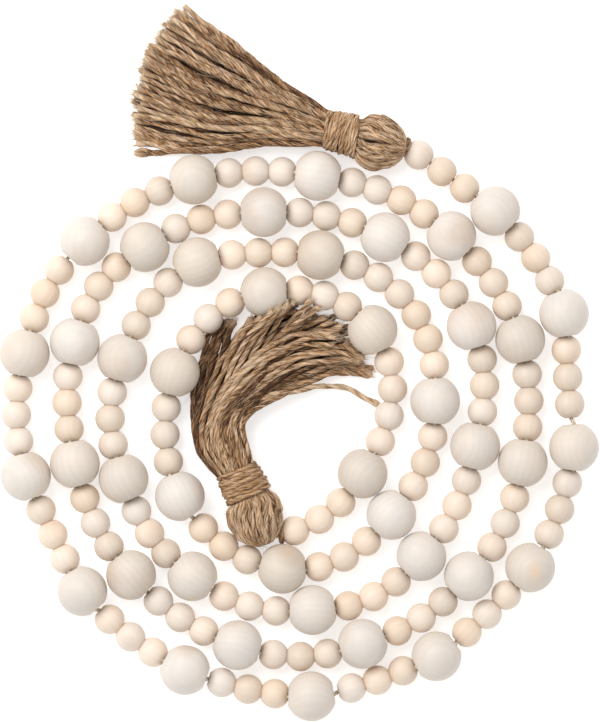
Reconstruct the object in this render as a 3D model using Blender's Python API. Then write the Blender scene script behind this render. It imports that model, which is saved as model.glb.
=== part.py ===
"""Wood bead garland with a jute tassel at each end, laid out flat in a spiral of about four and a half laps.

Metres, +Z up. The garland lies on z = 0, and the origin is on that surface, at the middle of its outline.
X runs across the laid-out garland and Y along its longer side. Every size below is in millimetres.

The string starts in the first tassel, at the top, and runs clockwise and inwards to the second one.
One solid holds one repeat of the garland: a large bead and the small beads that follow it on the string.
Each tassel is a folded head with its strands fused into it, and a wound binding stands round its neck.
"""
import math
import random
from collections import namedtuple

import bmesh
import bpy
import numpy as np

MM = 0.001

# Beads: turned balls with a bore, whose two ends are cut flat.
LARGE_DIAMETER = 20.0
LARGE_LENGTH = 18.3
LARGE_END_RADIUS = 4.0
SMALL_DIAMETER = 12.0
SMALL_LENGTH = 10.9
SMALL_END_RADIUS = 2.5
STRING_RADIUS = 0.9
CLEARANCE = 0.3
LEAST_BARE_STRING = 0.6

# An eight-sided ring stands for a round one: full height, flat below, and of the round one's own area.
RING_SIDES = 8
RING_TALL = 1.0 / math.cos(math.pi / RING_SIDES)
RING_WIDE = math.sqrt(2 * math.pi / (RING_SIDES * math.sin(2 * math.pi / RING_SIDES)))

# Half profiles of a bead from its middle to its end, as parts of its half length and its radius.
Turn = namedtuple("Turn", "along radius")
LARGE_PROFILE = [Turn(0.20, 1.0), Turn(0.74, 0.76), Turn(0.985, LARGE_END_RADIUS * 2 / LARGE_DIAMETER)]
SMALL_PROFILE = [Turn(0.42, 1.0)]

# Where each large bead lies, how many small beads follow it, and how far the string then
# swings outwards (or inwards, below zero) from an even curve before the next large bead.
Repeat = namedtuple("Repeat", "x y small_after swing")
REPEATS = [
    Repeat(78.0, 60.0, 3, 0.5),
    Repeat(105.5, 19.0, 3, -3.5),
    Repeat(109.5, -34.5, 3, 0.5),
    Repeat(92.0, -82.5, 3, -1.0),
    Repeat(54.5, -118.0, 3, -1.0),
    Repeat(4.5, -134.0, 3, -0.5),
    Repeat(-46.0, -123.5, 3, 0.0),
    Repeat(-87.0, -92.0, 3, -2.0),
    Repeat(-109.5, -46.0, 3, 1.0),
    Repeat(-110.0, 3.0, 3, 1.0),
    Repeat(-86.0, 48.0, 3, 0.5),
    Repeat(-42.5, 72.5, 3, 0.0),
    Repeat(7.0, 74.0, 4, 1.0),
    Repeat(60.5, 50.0, 3, 0.5),
    Repeat(88.0, 8.5, 3, 0.0),
    Repeat(89.0, -40.5, 3, 1.0),
    Repeat(67.5, -86.0, 3, 0.5),
    Repeat(25.0, -113.0, 3, 1.5),
    Repeat(-25.0, -113.5, 3, 0.0),
    Repeat(-67.5, -85.5, 3, 0.5),
    Repeat(-90.0, -41.0, 3, 0.0),
    Repeat(-90.0, 7.5, 3, 2.0),
    Repeat(-62.0, 45.5, 3, 0.8),
    Repeat(-14.5, 59.5, 3, 0.3),
    Repeat(34.0, 49.5, 3, 0.5),
    Repeat(68.5, 14.0, 3, 1.0),
    Repeat(70.0, -34.0, 3, 0.5),
    Repeat(48.5, -78.0, 3, 2.0),
    Repeat(5.0, -99.5, 3, 1.0),
    Repeat(-43.0, -86.0, 3, 0.5),
    Repeat(-70.5, -47.0, 3, 1.5),
    Repeat(-71.0, 1.0, 3, 0.5),
    Repeat(-41.0, 39.5, 3, -2.5),
    Repeat(8.0, 42.35, 6, 4.5),
    Repeat(54.0, -16.0, 3, 0.5),
    Repeat(36.5, -61.5, 3, 1.5),
    Repeat(-7.0, -83.0, 3, 0.0),
    Repeat(-48.0, -54.0, 3, -0.5),
    Repeat(-50.0, -4.5, 3, 1.5),
    Repeat(-14.0, 27.5, 3, 0.5),
    Repeat(29.0, 12.5, 4, 0.5),
    Repeat(25.0, -45.0, 3, 1.0),
]
SMALL_BEFORE_FIRST = 3
FIRST_SWING = -1.5
STRING_START = (42.9, 85.7)
STRING_END = (-7.5, -69.4)
ROUTE_STEPS = 24

# Tassels: rings along the head, from its tip to the face that the strands leave. Each ring has
# its middle, its half width, and the heights of its underside and its top.
Ring = namedtuple("Ring", "x y half_wide low high")
HEAD_SIDES = 16
HEAD_RIB = 0.03
FIRST_HEAD = [
    Ring(41.6, 85.7, 3.6, 6.5, 13.5),
    Ring(40.0, 85.9, 6.6, 3.6, 16.6),
    Ring(36.4, 86.4, 9.4, 0.8, 19.4),
    Ring(31.2, 87.2, 11.3, 0.0, 21.0),
    Ring(26.0, 88.8, 10.3, 0.0, 19.6),
    Ring(23.6, 89.5, 7.4, 2.2, 16.8),
    Ring(9.4, 93.0, 6.0, 2.4, 14.2),
    Ring(8.6, 93.2, 8.0, 1.2, 15.2),
    Ring(-1.2, 96.2, 11.8, 0.1, 15.3),
]
SECOND_HEAD = [
    Ring(-14.0, -72.6, 3.6, 6.5, 13.5),
    Ring(-14.6, -71.0, 6.4, 3.6, 16.8),
    Ring(-16.0, -67.4, 9.6, 0.8, 19.8),
    Ring(-17.9, -62.4, 11.2, 0.0, 21.2),
    Ring(-18.9, -57.4, 10.9, 0.0, 20.4),
    Ring(-19.9, -54.6, 8.2, 2.0, 17.8),
    Ring(-25.9, -42.9, 6.8, 2.2, 15.4),
    Ring(-26.3, -42.1, 8.8, 1.0, 15.8),
    Ring(-30.8, -34.4, 10.8, 0.1, 15.3),
]
NECK_FROM = 5
NECK_TO = 6

# Bindings: turns of thinner yarn round the neck.
BINDING_TURNS = 7
BINDING_YARN = 1.9
BINDING_RIDGE = 0.45

# Strands stand in files at the root. Towards the tip each file falls into stacks side by side.
# A lock is one file: where it stands across the root face and how high its first strand is there,
# how many strands it has, and the points that it passes by and ends at.
Lock = namedtuple("Lock", "across low strands by_x by_y tip_x tip_y")
FIRST_LOCKS = [
    Lock(-10.2, 4.4, 3, -21.2, 121.6, -49.2, 141.0),
    Lock(-7.7, 2.6, 5, -24.4, 117.4, -54.0, 135.8),
    Lock(-5.1, 1.6, 5, -27.6, 112.8, -58.4, 130.2),
    Lock(-2.55, 0.9, 6, -30.6, 108.0, -61.6, 123.8),
    Lock(0.0, 0.7, 6, -33.0, 103.2, -64.0, 117.0),
    Lock(2.55, 0.9, 6, -34.8, 98.4, -65.6, 109.8),
    Lock(5.1, 1.6, 5, -36.0, 93.6, -66.6, 102.6),
    Lock(7.7, 2.6, 4, -36.4, 88.9, -67.2, 95.2),
    Lock(10.2, 4.4, 2, -34.4, 85.1, -67.0, 89.0),
    Lock(10.2, 9.1, 1, -36.0, 84.0, -66.4, 83.8),
]
SECOND_LOCKS = [
    Lock(9.4, 4.6, 3, -39.6, -13.6, -30.2, 13.0),
    Lock(7.05, 2.8, 4, -34.4, -9.2, -16.4, 17.2),
    Lock(4.7, 1.7, 5, -29.6, -7.6, -1.8, 22.6),
    Lock(2.35, 1.0, 6, -24.6, -6.4, 5.6, 19.5),
    Lock(0.0, 0.8, 6, -19.8, -6.0, 12.4, 16.2),
    Lock(-2.35, 1.0, 6, -15.2, -6.6, 16.8, 12.2),
    Lock(-4.7, 1.7, 5, -11.0, -7.8, 19.2, 7.4),
    Lock(-7.05, 2.8, 4, -7.6, -9.4, 22.4, 2.0),
    Lock(-9.4, 4.6, 2, -8.6, -14.0, 27.2, -4.0),
    Lock(-9.4, 9.3, 1, -13.0, -17.0, 31.2, -17.0),
]

# Strands are three-sided. At each step along a strand: how wide it is, and how far apart
# the stacks of its file stand there.
Step = namedtuple("Step", "along width apart")
FIRST_STEPS = [
    Step(0.0, 2.2, 0.0),
    Step(0.18, 2.8, 0.1),
    Step(0.38, 2.7, 0.5),
    Step(0.60, 2.2, 1.5),
    Step(0.85, 2.0, 2.2),
    Step(1.0, 2.1, 2.4),
]
SECOND_STEPS = [
    Step(0.0, 2.0, 0.0),
    Step(0.18, 2.2, 0.1),
    Step(0.38, 2.4, 0.9),
    Step(0.60, 2.2, 1.9),
    Step(0.85, 2.2, 2.6),
    Step(1.0, 2.4, 2.8),
]
STRAND_HEIGHT = 1.75
STRAND_SINK = 1.5
ROOT_RISE = 2.35
LAYER_RISE = 2.1
FALL_POWER = 3.0
LEVEL_FROM = 0.85
SHORTEST_CUT = -2.5
LONGEST_CUT = 0.5
SEED = 7

Tassel = namedtuple("Tassel", "name head locks stacks steps")
FIRST_TASSEL = Tassel("first", FIRST_HEAD, FIRST_LOCKS, 3, FIRST_STEPS)
SECOND_TASSEL = Tassel("second", SECOND_HEAD, SECOND_LOCKS, 2, SECOND_STEPS)

Finish = namedtuple("Finish", "name colour roughness")
WOOD = Finish("turned_light_wood", (0.89, 0.80, 0.70), 0.55)
JUTE = Finish("jute_yarn", (0.31, 0.19, 0.095), 0.85)


def clear_scene():
    """Remove whatever the scene holds."""
    for item in list(bpy.data.objects):
        bpy.data.objects.remove(item, do_unlink=True)


def make_material(finish):
    """A plain Principled material."""
    material = bpy.data.materials.new(finish.name)
    material.use_nodes = True
    shader = material.node_tree.nodes["Principled BSDF"]
    shader.inputs["Base Color"].default_value = (*finish.colour, 1.0)
    shader.inputs["Roughness"].default_value = finish.roughness
    shader.inputs["Metallic"].default_value = 0.0
    return material


def unit(vector):
    """The vector at length one."""
    vector = np.asarray(vector, float)
    return vector / np.linalg.norm(vector)


def left_of(heading):
    """The direction to the left of a heading in plan."""
    return np.array([-heading[1], heading[0]])


def headings_at(points, first=None):
    """Headings at points of a curve: each is that of the circle through the point and its neighbours."""
    chords = np.diff(points, axis=0)
    lengths = np.linalg.norm(chords, axis=1)[:, None]
    inner = chords[:-1] / lengths[:-1] ** 2 + chords[1:] / lengths[1:] ** 2
    inner = inner / np.linalg.norm(inner, axis=1)[:, None]
    along = chords / lengths
    start = 2 * np.dot(inner[0], along[0]) * along[0] - inner[0] if first is None else unit(first)
    end = 2 * np.dot(inner[-1], along[-1]) * along[-1] - inner[-1]
    return np.vstack([start, inner, end])


def curve_through(points, swings=None, first=None):
    """A smooth plan curve through the points, as spans of ROUTE_STEPS short steps.

    Each span is a cubic that leaves and meets its points along their headings. A swing bows the
    span to the left by that much at its middle, as half a sine wave.
    """
    points = np.asarray(points, float)
    headings = headings_at(points, first)
    spans = []
    for index in range(len(points) - 1):
        start, end = points[index], points[index + 1]
        chord = np.linalg.norm(end - start)
        turn = math.acos(min(1.0, float(np.dot(headings[index], unit(end - start)))))
        arc = chord * (turn / math.sin(turn) if turn > 0.001 else 1.0)
        part = np.linspace(0.0, 1.0, ROUTE_STEPS, endpoint=False)[:, None]
        span = (
            (2 * part**3 - 3 * part**2 + 1) * start
            + (part**3 - 2 * part**2 + part) * arc * headings[index]
            + (3 * part**2 - 2 * part**3) * end
            + (part**3 - part**2) * arc * headings[index + 1]
        )
        if swings is not None:
            span = span + swings[index] * np.sin(math.pi * part) * left_of(unit(end - start))
        spans.append(span)
    return np.vstack(spans + [points[-1:]])


class Path:
    """A plan curve that can be read at any distance from its start."""

    def __init__(self, points):
        self.points = points
        steps = np.linalg.norm(np.diff(points, axis=0), axis=1)
        self.reach = np.concatenate([[0.0], np.cumsum(steps)])
        self.length = float(self.reach[-1])

    def at(self, distance):
        """The point at a distance, carried on straight past either end."""
        near = min(max(distance, 0.0), self.length)
        point = np.array([np.interp(near, self.reach, self.points[:, axis]) for axis in (0, 1)])
        return point + (distance - near) * self.heading(near)

    def heading(self, distance):
        """The direction of travel at a distance."""
        low = min(max(distance - 0.5, 0.0), self.length - 1.0)
        ends = [[np.interp(low + step, self.reach, self.points[:, axis]) for axis in (0, 1)] for step in (0.0, 1.0)]
        return unit(np.subtract(ends[1], ends[0]))


Bead = namedtuple("Bead", "large place heading before after")
Joint = namedtuple("Joint", "place heading height")


def bead_at(path, distance, large, before, after):
    """One bead on the string, with the room that it has on either side of its middle."""
    return Bead(large, path.at(distance), path.heading(distance), before, after)


def string_runs():
    """The beads of each run in order: the small ones before the first large bead, then each repeat."""
    points = [STRING_START] + [(row.x, row.y) for row in REPEATS] + [STRING_END]
    path = Path(curve_through(points, [FIRST_SWING] + [row.swing for row in REPEATS]))
    half_large = LARGE_LENGTH / 2
    half_small = SMALL_LENGTH / 2
    first = float(path.reach[ROUTE_STEPS])
    squeeze = first / (half_large + SMALL_LENGTH * SMALL_BEFORE_FIRST)
    half = half_small * squeeze
    runs = [[]]
    for index in range(SMALL_BEFORE_FIRST):
        runs[0].append(bead_at(path, half + SMALL_LENGTH * index * squeeze, False, half, half))
    for number, row in enumerate(REPEATS):
        start = float(path.reach[ROUTE_STEPS * (number + 1)])
        room = float(path.reach[ROUTE_STEPS * (number + 2)]) - start
        need = LARGE_LENGTH + SMALL_LENGTH * row.small_after
        before = half_large * squeeze
        squeeze = min(1.0, room / need) if number + 1 < len(REPEATS) else 1.0
        beads = [bead_at(path, start, True, before, half_large * squeeze)]
        for index in range(row.small_after):
            ahead = half_large + half_small + SMALL_LENGTH * index
            half = half_small * squeeze
            beads.append(bead_at(path, start + ahead * squeeze, False, half, half))
        runs.append(beads)
    return runs


def bead_radius(bead):
    """Half the diameter of a bead, which is also how high its middle lies."""
    return (LARGE_DIAMETER if bead.large else SMALL_DIAMETER) / 2


def joint_between(bead, after):
    """Where two beads meet: a plane across the string at the face of the second one."""
    heading = unit(bead.heading + after.heading)
    share = after.before / (bead.after + after.before)
    apart = np.linalg.norm(after.place - bead.place)
    share = min(share, after.before / apart)
    place = after.place + (bead.place - after.place) * share
    height = bead_radius(after) + (bead_radius(bead) - bead_radius(after)) * share
    return Joint(place, heading, height)


def ring_points(place, heading, radius, height):
    """One eight-sided ring that stands across a heading, with a flat side below."""
    angles = (np.arange(RING_SIDES) + 0.5) * 2 * math.pi / RING_SIDES
    side = left_of(heading)
    across = np.cos(angles) * radius * RING_WIDE
    up = height + np.sin(angles) * radius * RING_TALL
    return np.column_stack([place[0] + across * side[0], place[1] + across * side[1], up])


def bead_rings(bead, open_start):
    """The rings that turn one bead, from its start to its end. An open start leaves out its first end face."""
    radius = bead_radius(bead)
    profile = LARGE_PROFILE if bead.large else SMALL_PROFILE
    lead = profile[:-1] if bead.large and open_start else profile
    turns = [(-turn.along * bead.before, turn.radius) for turn in reversed(lead)]
    turns += [(turn.along * bead.after, turn.radius) for turn in profile]
    return [ring_points(bead.place + along * bead.heading, bead.heading, wide * radius, radius) for along, wide in turns]


def run_rings(beads, joint_before, joint_after):
    """The rings of a whole run: its beads, a narrow ring where two of them meet, and a face at each end."""
    first, last = beads[0], beads[-1]
    half_gap = CLEARANCE / 2
    if joint_before is None:
        place = first.place - (first.before - half_gap) * first.heading
        rings = [ring_points(place, first.heading, SMALL_END_RADIUS, bead_radius(first))]
    else:
        place = joint_before.place + half_gap * joint_before.heading
        rings = [ring_points(place, joint_before.heading, LARGE_END_RADIUS, bead_radius(first))]
    for index, bead in enumerate(beads):
        rings += bead_rings(bead, index == 0)
        if index + 1 < len(beads):
            joint = joint_between(bead, beads[index + 1])
            rings.append(ring_points(joint.place, joint.heading, SMALL_END_RADIUS, joint.height))
    end = last.place + (last.after - half_gap) * last.heading
    if joint_after is None:
        rings.append(ring_points(end, last.heading, SMALL_END_RADIUS, bead_radius(last)))
        return rings
    stop = joint_after.place - half_gap * joint_after.heading
    if np.dot(stop - end, joint_after.heading) < LEAST_BARE_STRING:
        rings.append(ring_points(stop, joint_after.heading, SMALL_END_RADIUS, bead_radius(last)))
        return rings
    rings.append(ring_points(end, last.heading, SMALL_END_RADIUS, bead_radius(last)))
    near = end + half_gap * last.heading
    rings.append(ring_points(near, last.heading, STRING_RADIUS, bead_radius(last)))
    rings.append(ring_points(stop, joint_after.heading, STRING_RADIUS, bead_radius(last)))
    return rings


def skin(mesh, rings):
    """Join rings of equal count with quads and close both ends."""
    loops = [[mesh.verts.new(point * MM) for point in ring] for ring in rings]
    for near, far in zip(loops, loops[1:]):
        for index in range(len(near)):
            after = (index + 1) % len(near)
            mesh.faces.new((near[index], near[after], far[after], far[index]))
    mesh.faces.new(list(reversed(loops[0])))
    mesh.faces.new(loops[-1])


def add_object(name, mesh, origin, material, parent, edge_angle):
    """Turn a bmesh in garland coordinates into a named object whose origin is at the given place."""
    origin = np.asarray(origin, float) * MM
    bmesh.ops.recalc_face_normals(mesh, faces=mesh.faces)
    bmesh.ops.translate(mesh, verts=mesh.verts, vec=tuple(-origin))
    data = bpy.data.meshes.new(name)
    mesh.to_mesh(data)
    mesh.free()
    data.materials.append(material)
    data.shade_smooth()
    data.set_sharp_from_angle(angle=math.radians(edge_angle))
    item = bpy.data.objects.new(name, data)
    item.location = tuple(origin)
    item.parent = parent
    bpy.context.scene.collection.objects.link(item)
    return item


def make_runs(material, parent):
    """One object for each run of beads."""
    runs = string_runs()
    joints = [joint_between(run[-1], after[0]) for run, after in zip(runs, runs[1:])]
    joints = [None] + joints + [None]
    for number, beads in enumerate(runs):
        mesh = bmesh.new()
        skin(mesh, run_rings(beads, joints[number], joints[number + 1]))
        origin = (*beads[0].place, 0.0)
        add_object(f"beads_{number:02d}", mesh, origin, material, parent, 60)


def oval_ring(ring, heading, rib=0.0, outset=0.0):
    """One ring of a tassel's head or binding: an oval across the heading, with shallow lengthwise ribs.

    Nothing of it goes below the surface that the garland lies on, so its underside is flat there.
    """
    turns = np.arange(HEAD_SIDES)
    angles = (turns + 0.5) * 2 * math.pi / HEAD_SIDES
    swell = 1.0 + rib * np.where(turns % 2 == 0, 1.0, -1.0)
    side = left_of(heading)
    across = np.cos(angles) * (ring.half_wide + outset) * swell
    middle = (ring.high + ring.low) / 2
    up = middle + np.sin(angles) * ((ring.high - ring.low) / 2 + outset) * swell
    return np.column_stack([ring.x + across * side[0], ring.y + across * side[1], np.maximum(up, 0.0)])


def head_headings(head):
    """The heading of each ring, from the tip towards the strands."""
    places = np.array([(ring.x, ring.y) for ring in head])
    steps = np.gradient(places, axis=0)
    steps[NECK_FROM] = steps[NECK_TO] = places[NECK_TO] - places[NECK_FROM]
    return [unit(step) for step in steps]


def strand_rings(path, steps, length, root, layer, side):
    """Rings of one strand: three-sided and flat below, from its root height down to its layer at the tip.

    It falls as the cube of the way along, and lies level from LEVEL_FROM to the tip. side says which
    stack it belongs to, as a number of stacks from the middle of the lock.
    """
    rings = []
    for step in steps:
        distance = step.along * length if step.along > 0 else -STRAND_SINK
        place, heading = path.at(distance), path.heading(distance)
        place = place + left_of(heading) * side * step.apart
        fall = min(1.0, step.along / LEVEL_FROM) ** FALL_POWER
        low = root * (1 - fall) + layer * LAYER_RISE * fall
        half = step.width / 2 * left_of(heading)
        corners = [(*(place - half), low), (*(place + half), low), (*place, low + STRAND_HEIGHT)]
        rings.append(np.array(corners))
    return rings


def lock_rings(lock, root, way, tassel, chance):
    """The rings of each strand of a lock, whose file starts at a root on the face of the head."""
    path = Path(curve_through([root, (lock.by_x, lock.by_y), (lock.tip_x, lock.tip_y)], first=way))
    stacks = min(tassel.stacks, lock.strands)
    strands = []
    for index in range(lock.strands):
        side = index % stacks - (stacks - 1) / 2
        length = path.length + chance.uniform(SHORTEST_CUT, LONGEST_CUT)
        low = lock.low + index * ROOT_RISE
        strands.append(strand_rings(path, tassel.steps, length, low, index // stacks, side))
    return strands


def make_tassel(tassel, material, parent):
    """A head with its strands fused into the face behind the neck."""
    head = tassel.head
    headings = head_headings(head)
    ribs = [0.0 if NECK_FROM <= index <= NECK_TO else HEAD_RIB for index in range(len(head))]
    core = bmesh.new()
    skin(core, [oval_ring(ring, way, rib) for ring, way, rib in zip(head, headings, ribs)])
    origin = (head[0].x, head[0].y, 0.0)
    solid = add_object(f"tassel_{tassel.name}", core, origin, material, parent, 50)

    face, way = head[-1], headings[-1]
    chance = random.Random(SEED)
    bundle = bmesh.new()
    for lock in tassel.locks:
        root = np.array([face.x, face.y]) + lock.across * left_of(way)
        for rings in lock_rings(lock, root, way, tassel, chance):
            skin(bundle, rings)
    fuse(solid, add_object("strands", bundle, origin, material, parent, 50))


def fuse(solid, other):
    """Join another object into a solid, and remove that object."""
    union = solid.modifiers.new("fuse", "BOOLEAN")
    union.operation = "UNION"
    union.solver = "EXACT"
    union.object = other
    depsgraph = bpy.context.evaluated_depsgraph_get()
    joined = bpy.data.meshes.new_from_object(solid.evaluated_get(depsgraph))
    solid.modifiers.remove(union)
    solid.data = joined
    bpy.data.objects.remove(other, do_unlink=True)


def make_binding(tassel, material, parent):
    """Turns of yarn wound round the neck, as one ridged sleeve that stands clear of it."""
    start, end = tassel.head[NECK_FROM], tassel.head[NECK_TO]
    way = unit((end.x - start.x, end.y - start.y))
    reach = math.hypot(end.x - start.x, end.y - start.y)
    first, last = CLEARANCE / reach, 1.0 - CLEARANCE / reach

    def ring_between(part, out):
        mixed = Ring(*(np.array(start) * (1 - part) + np.array(end) * part))
        return oval_ring(mixed, way, outset=out)

    inner = CLEARANCE / math.cos(math.pi / HEAD_SIDES)
    profile = [(first, inner)]
    for turn in range(BINDING_TURNS):
        for part, out in ((0.0, BINDING_YARN - BINDING_RIDGE), (0.5, BINDING_YARN)):
            profile.append((first + (last - first) * (turn + part) / BINDING_TURNS, out))
    profile += [(last, BINDING_YARN - BINDING_RIDGE), (last, inner)]

    mesh = bmesh.new()
    loops = [[mesh.verts.new(point * MM) for point in ring_between(part, out)] for part, out in profile]
    for near, far in zip(loops, loops[1:] + loops[:1]):
        for index in range(HEAD_SIDES):
            after = (index + 1) % HEAD_SIDES
            mesh.faces.new((near[index], near[after], far[after], far[index]))
    add_object(f"binding_{tassel.name}", mesh, (start.x, start.y, 0.0), material, parent, 50)


def main():
    clear_scene()
    garland = bpy.data.objects.new("garland", None)
    bpy.context.scene.collection.objects.link(garland)
    wood = make_material(WOOD)
    jute = make_material(JUTE)
    make_runs(wood, garland)
    for tassel in (FIRST_TASSEL, SECOND_TASSEL):
        make_tassel(tassel, jute, garland)
        make_binding(tassel, jute, garland)


main()
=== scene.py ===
"""Wood bead garland with a jute tassel at each end: what is seen of it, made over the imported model.

Lengths in this file are in millimetres unless a name or a property says otherwise, and MM turns them to metres.
The garland lies on z = 0. X runs across it and Y along its longer side, with the outer tassel at the far end.
"""
import math
import random
from collections import namedtuple
from functools import partial

import bpy
import numpy as np
from bpy.props import FloatProperty, FloatVectorProperty, IntProperty, PointerProperty
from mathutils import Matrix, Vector


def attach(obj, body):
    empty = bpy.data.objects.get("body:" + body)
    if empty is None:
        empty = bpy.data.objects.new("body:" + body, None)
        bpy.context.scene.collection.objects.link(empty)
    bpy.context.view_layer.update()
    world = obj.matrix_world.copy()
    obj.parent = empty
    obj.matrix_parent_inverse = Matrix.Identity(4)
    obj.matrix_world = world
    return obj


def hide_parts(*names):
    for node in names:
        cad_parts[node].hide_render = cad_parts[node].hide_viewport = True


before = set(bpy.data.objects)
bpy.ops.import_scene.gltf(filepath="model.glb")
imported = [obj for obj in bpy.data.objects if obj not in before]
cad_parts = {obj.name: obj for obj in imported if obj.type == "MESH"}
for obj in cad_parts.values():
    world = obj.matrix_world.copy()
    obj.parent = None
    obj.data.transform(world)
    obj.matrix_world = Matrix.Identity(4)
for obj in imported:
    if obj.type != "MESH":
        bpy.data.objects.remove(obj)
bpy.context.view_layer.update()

bl_info = {
    "name": "Wood bead garland",
    "version": (1, 0, 0),
    "blender": (4, 5, 0),
    "location": "3D View > Sidebar > Garland",
    "description": "Makes a laid-out garland of turned wood beads with a bound jute tassel at each end",
    "category": "Object",
}

MM = 0.001

# Beads: turned balls with a bore, whose two ends are cut flat. Each bore is given by its radius.
LARGE_DIAMETER = 20.0
LARGE_LENGTH = 18.3
LARGE_BORE = 2.0
SMALL_DIAMETER = 12.0
SMALL_LENGTH = 10.9
SMALL_BORE = 1.5
# How a bead is drawn: its bore, the points round it, and the rings from one end to the other.
LARGE_SHAPE = (LARGE_BORE, 28, 15)
SMALL_SHAPE = (SMALL_BORE, 20, 9)
STRING_DIAMETER = 1.8
# The string has a ring every so many mm and twists once in this length.
STRING_STEP = 0.8
STRING_TWIST = 8.0
# How far beads that touch stand apart, how much each cut end is eased, and how wide and deep the edge of its bore is.
JOINT_GAP = 0.02
EASED_EDGE = 0.25
MOUTH = 0.4
# Each bead is cut from another place in the wood, up to this far off along X, Y and Z.
WOOD_REACH = 400

# One large bead shows a small knot on top: where its middle is, and how far it reaches along X, Y and Z.
KNOT = (93.4, -83.5, 19.8)
KNOT_REACH = (1.6, 3.2, 5.0)

# Where each large bead lies, how many small beads follow it, and how far the string then
# swings outwards (or inwards, below zero) from an even curve before the next large bead.
Repeat = namedtuple("Repeat", "x y small_after swing")
REPEATS = [
    Repeat(*row)
    for row in (
        (78.0, 60.0, 3, 0.5), (105.5, 19.0, 3, -3.5), (109.5, -34.5, 3, 0.5), (92.0, -82.5, 3, -1.0),
        (54.5, -118.0, 3, -1.0), (4.5, -134.0, 3, -0.5), (-46.0, -123.5, 3, 0.0), (-87.0, -92.0, 3, -2.0),
        (-109.5, -46.0, 3, 1.0), (-110.0, 3.0, 3, 1.0), (-86.0, 48.0, 3, 0.5), (-42.5, 72.5, 3, 0.0),
        (7.0, 74.0, 4, 1.0), (60.5, 50.0, 3, 0.5), (88.0, 8.5, 3, 0.0), (89.0, -40.5, 3, 1.0),
        (67.5, -86.0, 3, 0.5), (25.0, -113.0, 3, 1.5), (-25.0, -113.5, 3, 0.0), (-67.5, -85.5, 3, 0.5),
        (-90.0, -41.0, 3, 0.0), (-90.0, 7.5, 3, 2.0), (-62.0, 45.5, 3, 0.8), (-14.5, 59.5, 3, 0.3),
        (34.0, 49.5, 3, 0.5), (68.5, 14.0, 3, 1.0), (70.0, -34.0, 3, 0.5), (48.5, -78.0, 3, 2.0),
        (5.0, -99.5, 3, 1.0), (-43.0, -86.0, 3, 0.5), (-70.5, -47.0, 3, 1.5), (-71.0, 1.0, 3, 0.5),
        (-41.0, 39.5, 3, -2.5), (8.0, 42.35, 6, 4.5), (54.0, -16.0, 3, 0.5), (36.5, -61.5, 3, 1.5),
        (-7.0, -83.0, 3, 0.0), (-48.0, -54.0, 3, -0.5), (-50.0, -4.5, 3, 1.5), (-14.0, 27.5, 3, 0.5),
        (29.0, 12.5, 4, 0.5), (25.0, -45.0, 3, 1.0),
    )
]
# The small beads before the first large one and the swing of the string there, where the string leaves each head,
# and how many steps each span of its route has.
SMALL_BEFORE_FIRST = 3
FIRST_SWING = -1.5
STRING_START = (42.9, 85.7)
STRING_END = (-7.5, -69.4)
ROUTE_STEPS = 24

# Tassels: rings along the head, from its tip to where its strands fan out. Each ring has its
# middle, its half width, and the heights of its underside and its top.
Ring = namedtuple("Ring", "x y half_wide low high")
FIRST_HEAD = [
    Ring(41.6, 85.7, 3.6, 6.5, 13.5),
    Ring(40.0, 85.9, 6.6, 3.6, 16.6),
    Ring(36.4, 86.4, 9.4, 0.8, 19.4),
    Ring(31.2, 87.2, 11.3, 0.0, 21.0),
    Ring(26.0, 88.8, 10.3, 0.0, 19.6),
    Ring(23.6, 89.5, 7.4, 2.2, 16.8),
    Ring(9.4, 93.0, 6.0, 2.4, 14.2),
    Ring(8.6, 93.2, 8.0, 1.2, 15.2),
    Ring(-1.2, 96.2, 11.8, 0.1, 15.3),
]
SECOND_HEAD = [
    Ring(-14.0, -72.6, 3.6, 6.5, 13.5),
    Ring(-14.6, -71.0, 6.4, 3.6, 16.8),
    Ring(-16.0, -67.4, 9.6, 0.8, 19.8),
    Ring(-17.9, -62.4, 11.2, 0.0, 21.2),
    Ring(-18.9, -57.4, 10.9, 0.0, 20.4),
    Ring(-19.9, -54.6, 8.2, 2.0, 17.8),
    Ring(-25.9, -42.9, 6.8, 2.2, 15.4),
    Ring(-26.3, -42.1, 8.8, 1.0, 15.8),
    Ring(-30.8, -34.4, 10.8, 0.1, 15.3),
]
NECK_FROM = 5
NECK_TO = 6

# A lock is one file of strands: where it stands across the last ring of the head, how high its first strand is there,
# how many strands it has, the points that it passes by and ends at, and how much lighter it is. Where it is darker,
# that is painted shade, on locks that lie low or reach under the rim of a bead.
Lock = namedtuple("Lock", "across low strands by_x by_y tip_x tip_y lighter")
FIRST_LOCKS = [
    Lock(-10.2, 4.4, 3, -21.2, 121.6, -49.2, 141.0, 0.0),
    Lock(-7.7, 2.6, 5, -24.4, 117.4, -54.0, 135.8, 0.0),
    Lock(-5.1, 1.6, 5, -27.6, 112.8, -58.4, 130.2, 0.0),
    Lock(-2.55, 0.9, 6, -30.6, 108.0, -61.6, 123.8, 0.0),
    Lock(0.0, 0.7, 6, -33.0, 103.2, -64.0, 117.0, 0.0),
    Lock(2.55, 0.9, 6, -34.8, 98.4, -65.6, 109.8, 0.0),
    Lock(5.1, 1.6, 5, -36.0, 93.6, -66.6, 102.6, 0.0),
    Lock(7.7, 2.6, 4, -36.4, 88.9, -67.2, 95.2, 0.0),
    Lock(10.2, 4.4, 2, -34.4, 85.1, -67.0, 89.0, 0.0),
    Lock(10.2, 9.1, 1, -36.0, 84.0, -66.4, 83.8, 0.0),
]
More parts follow.
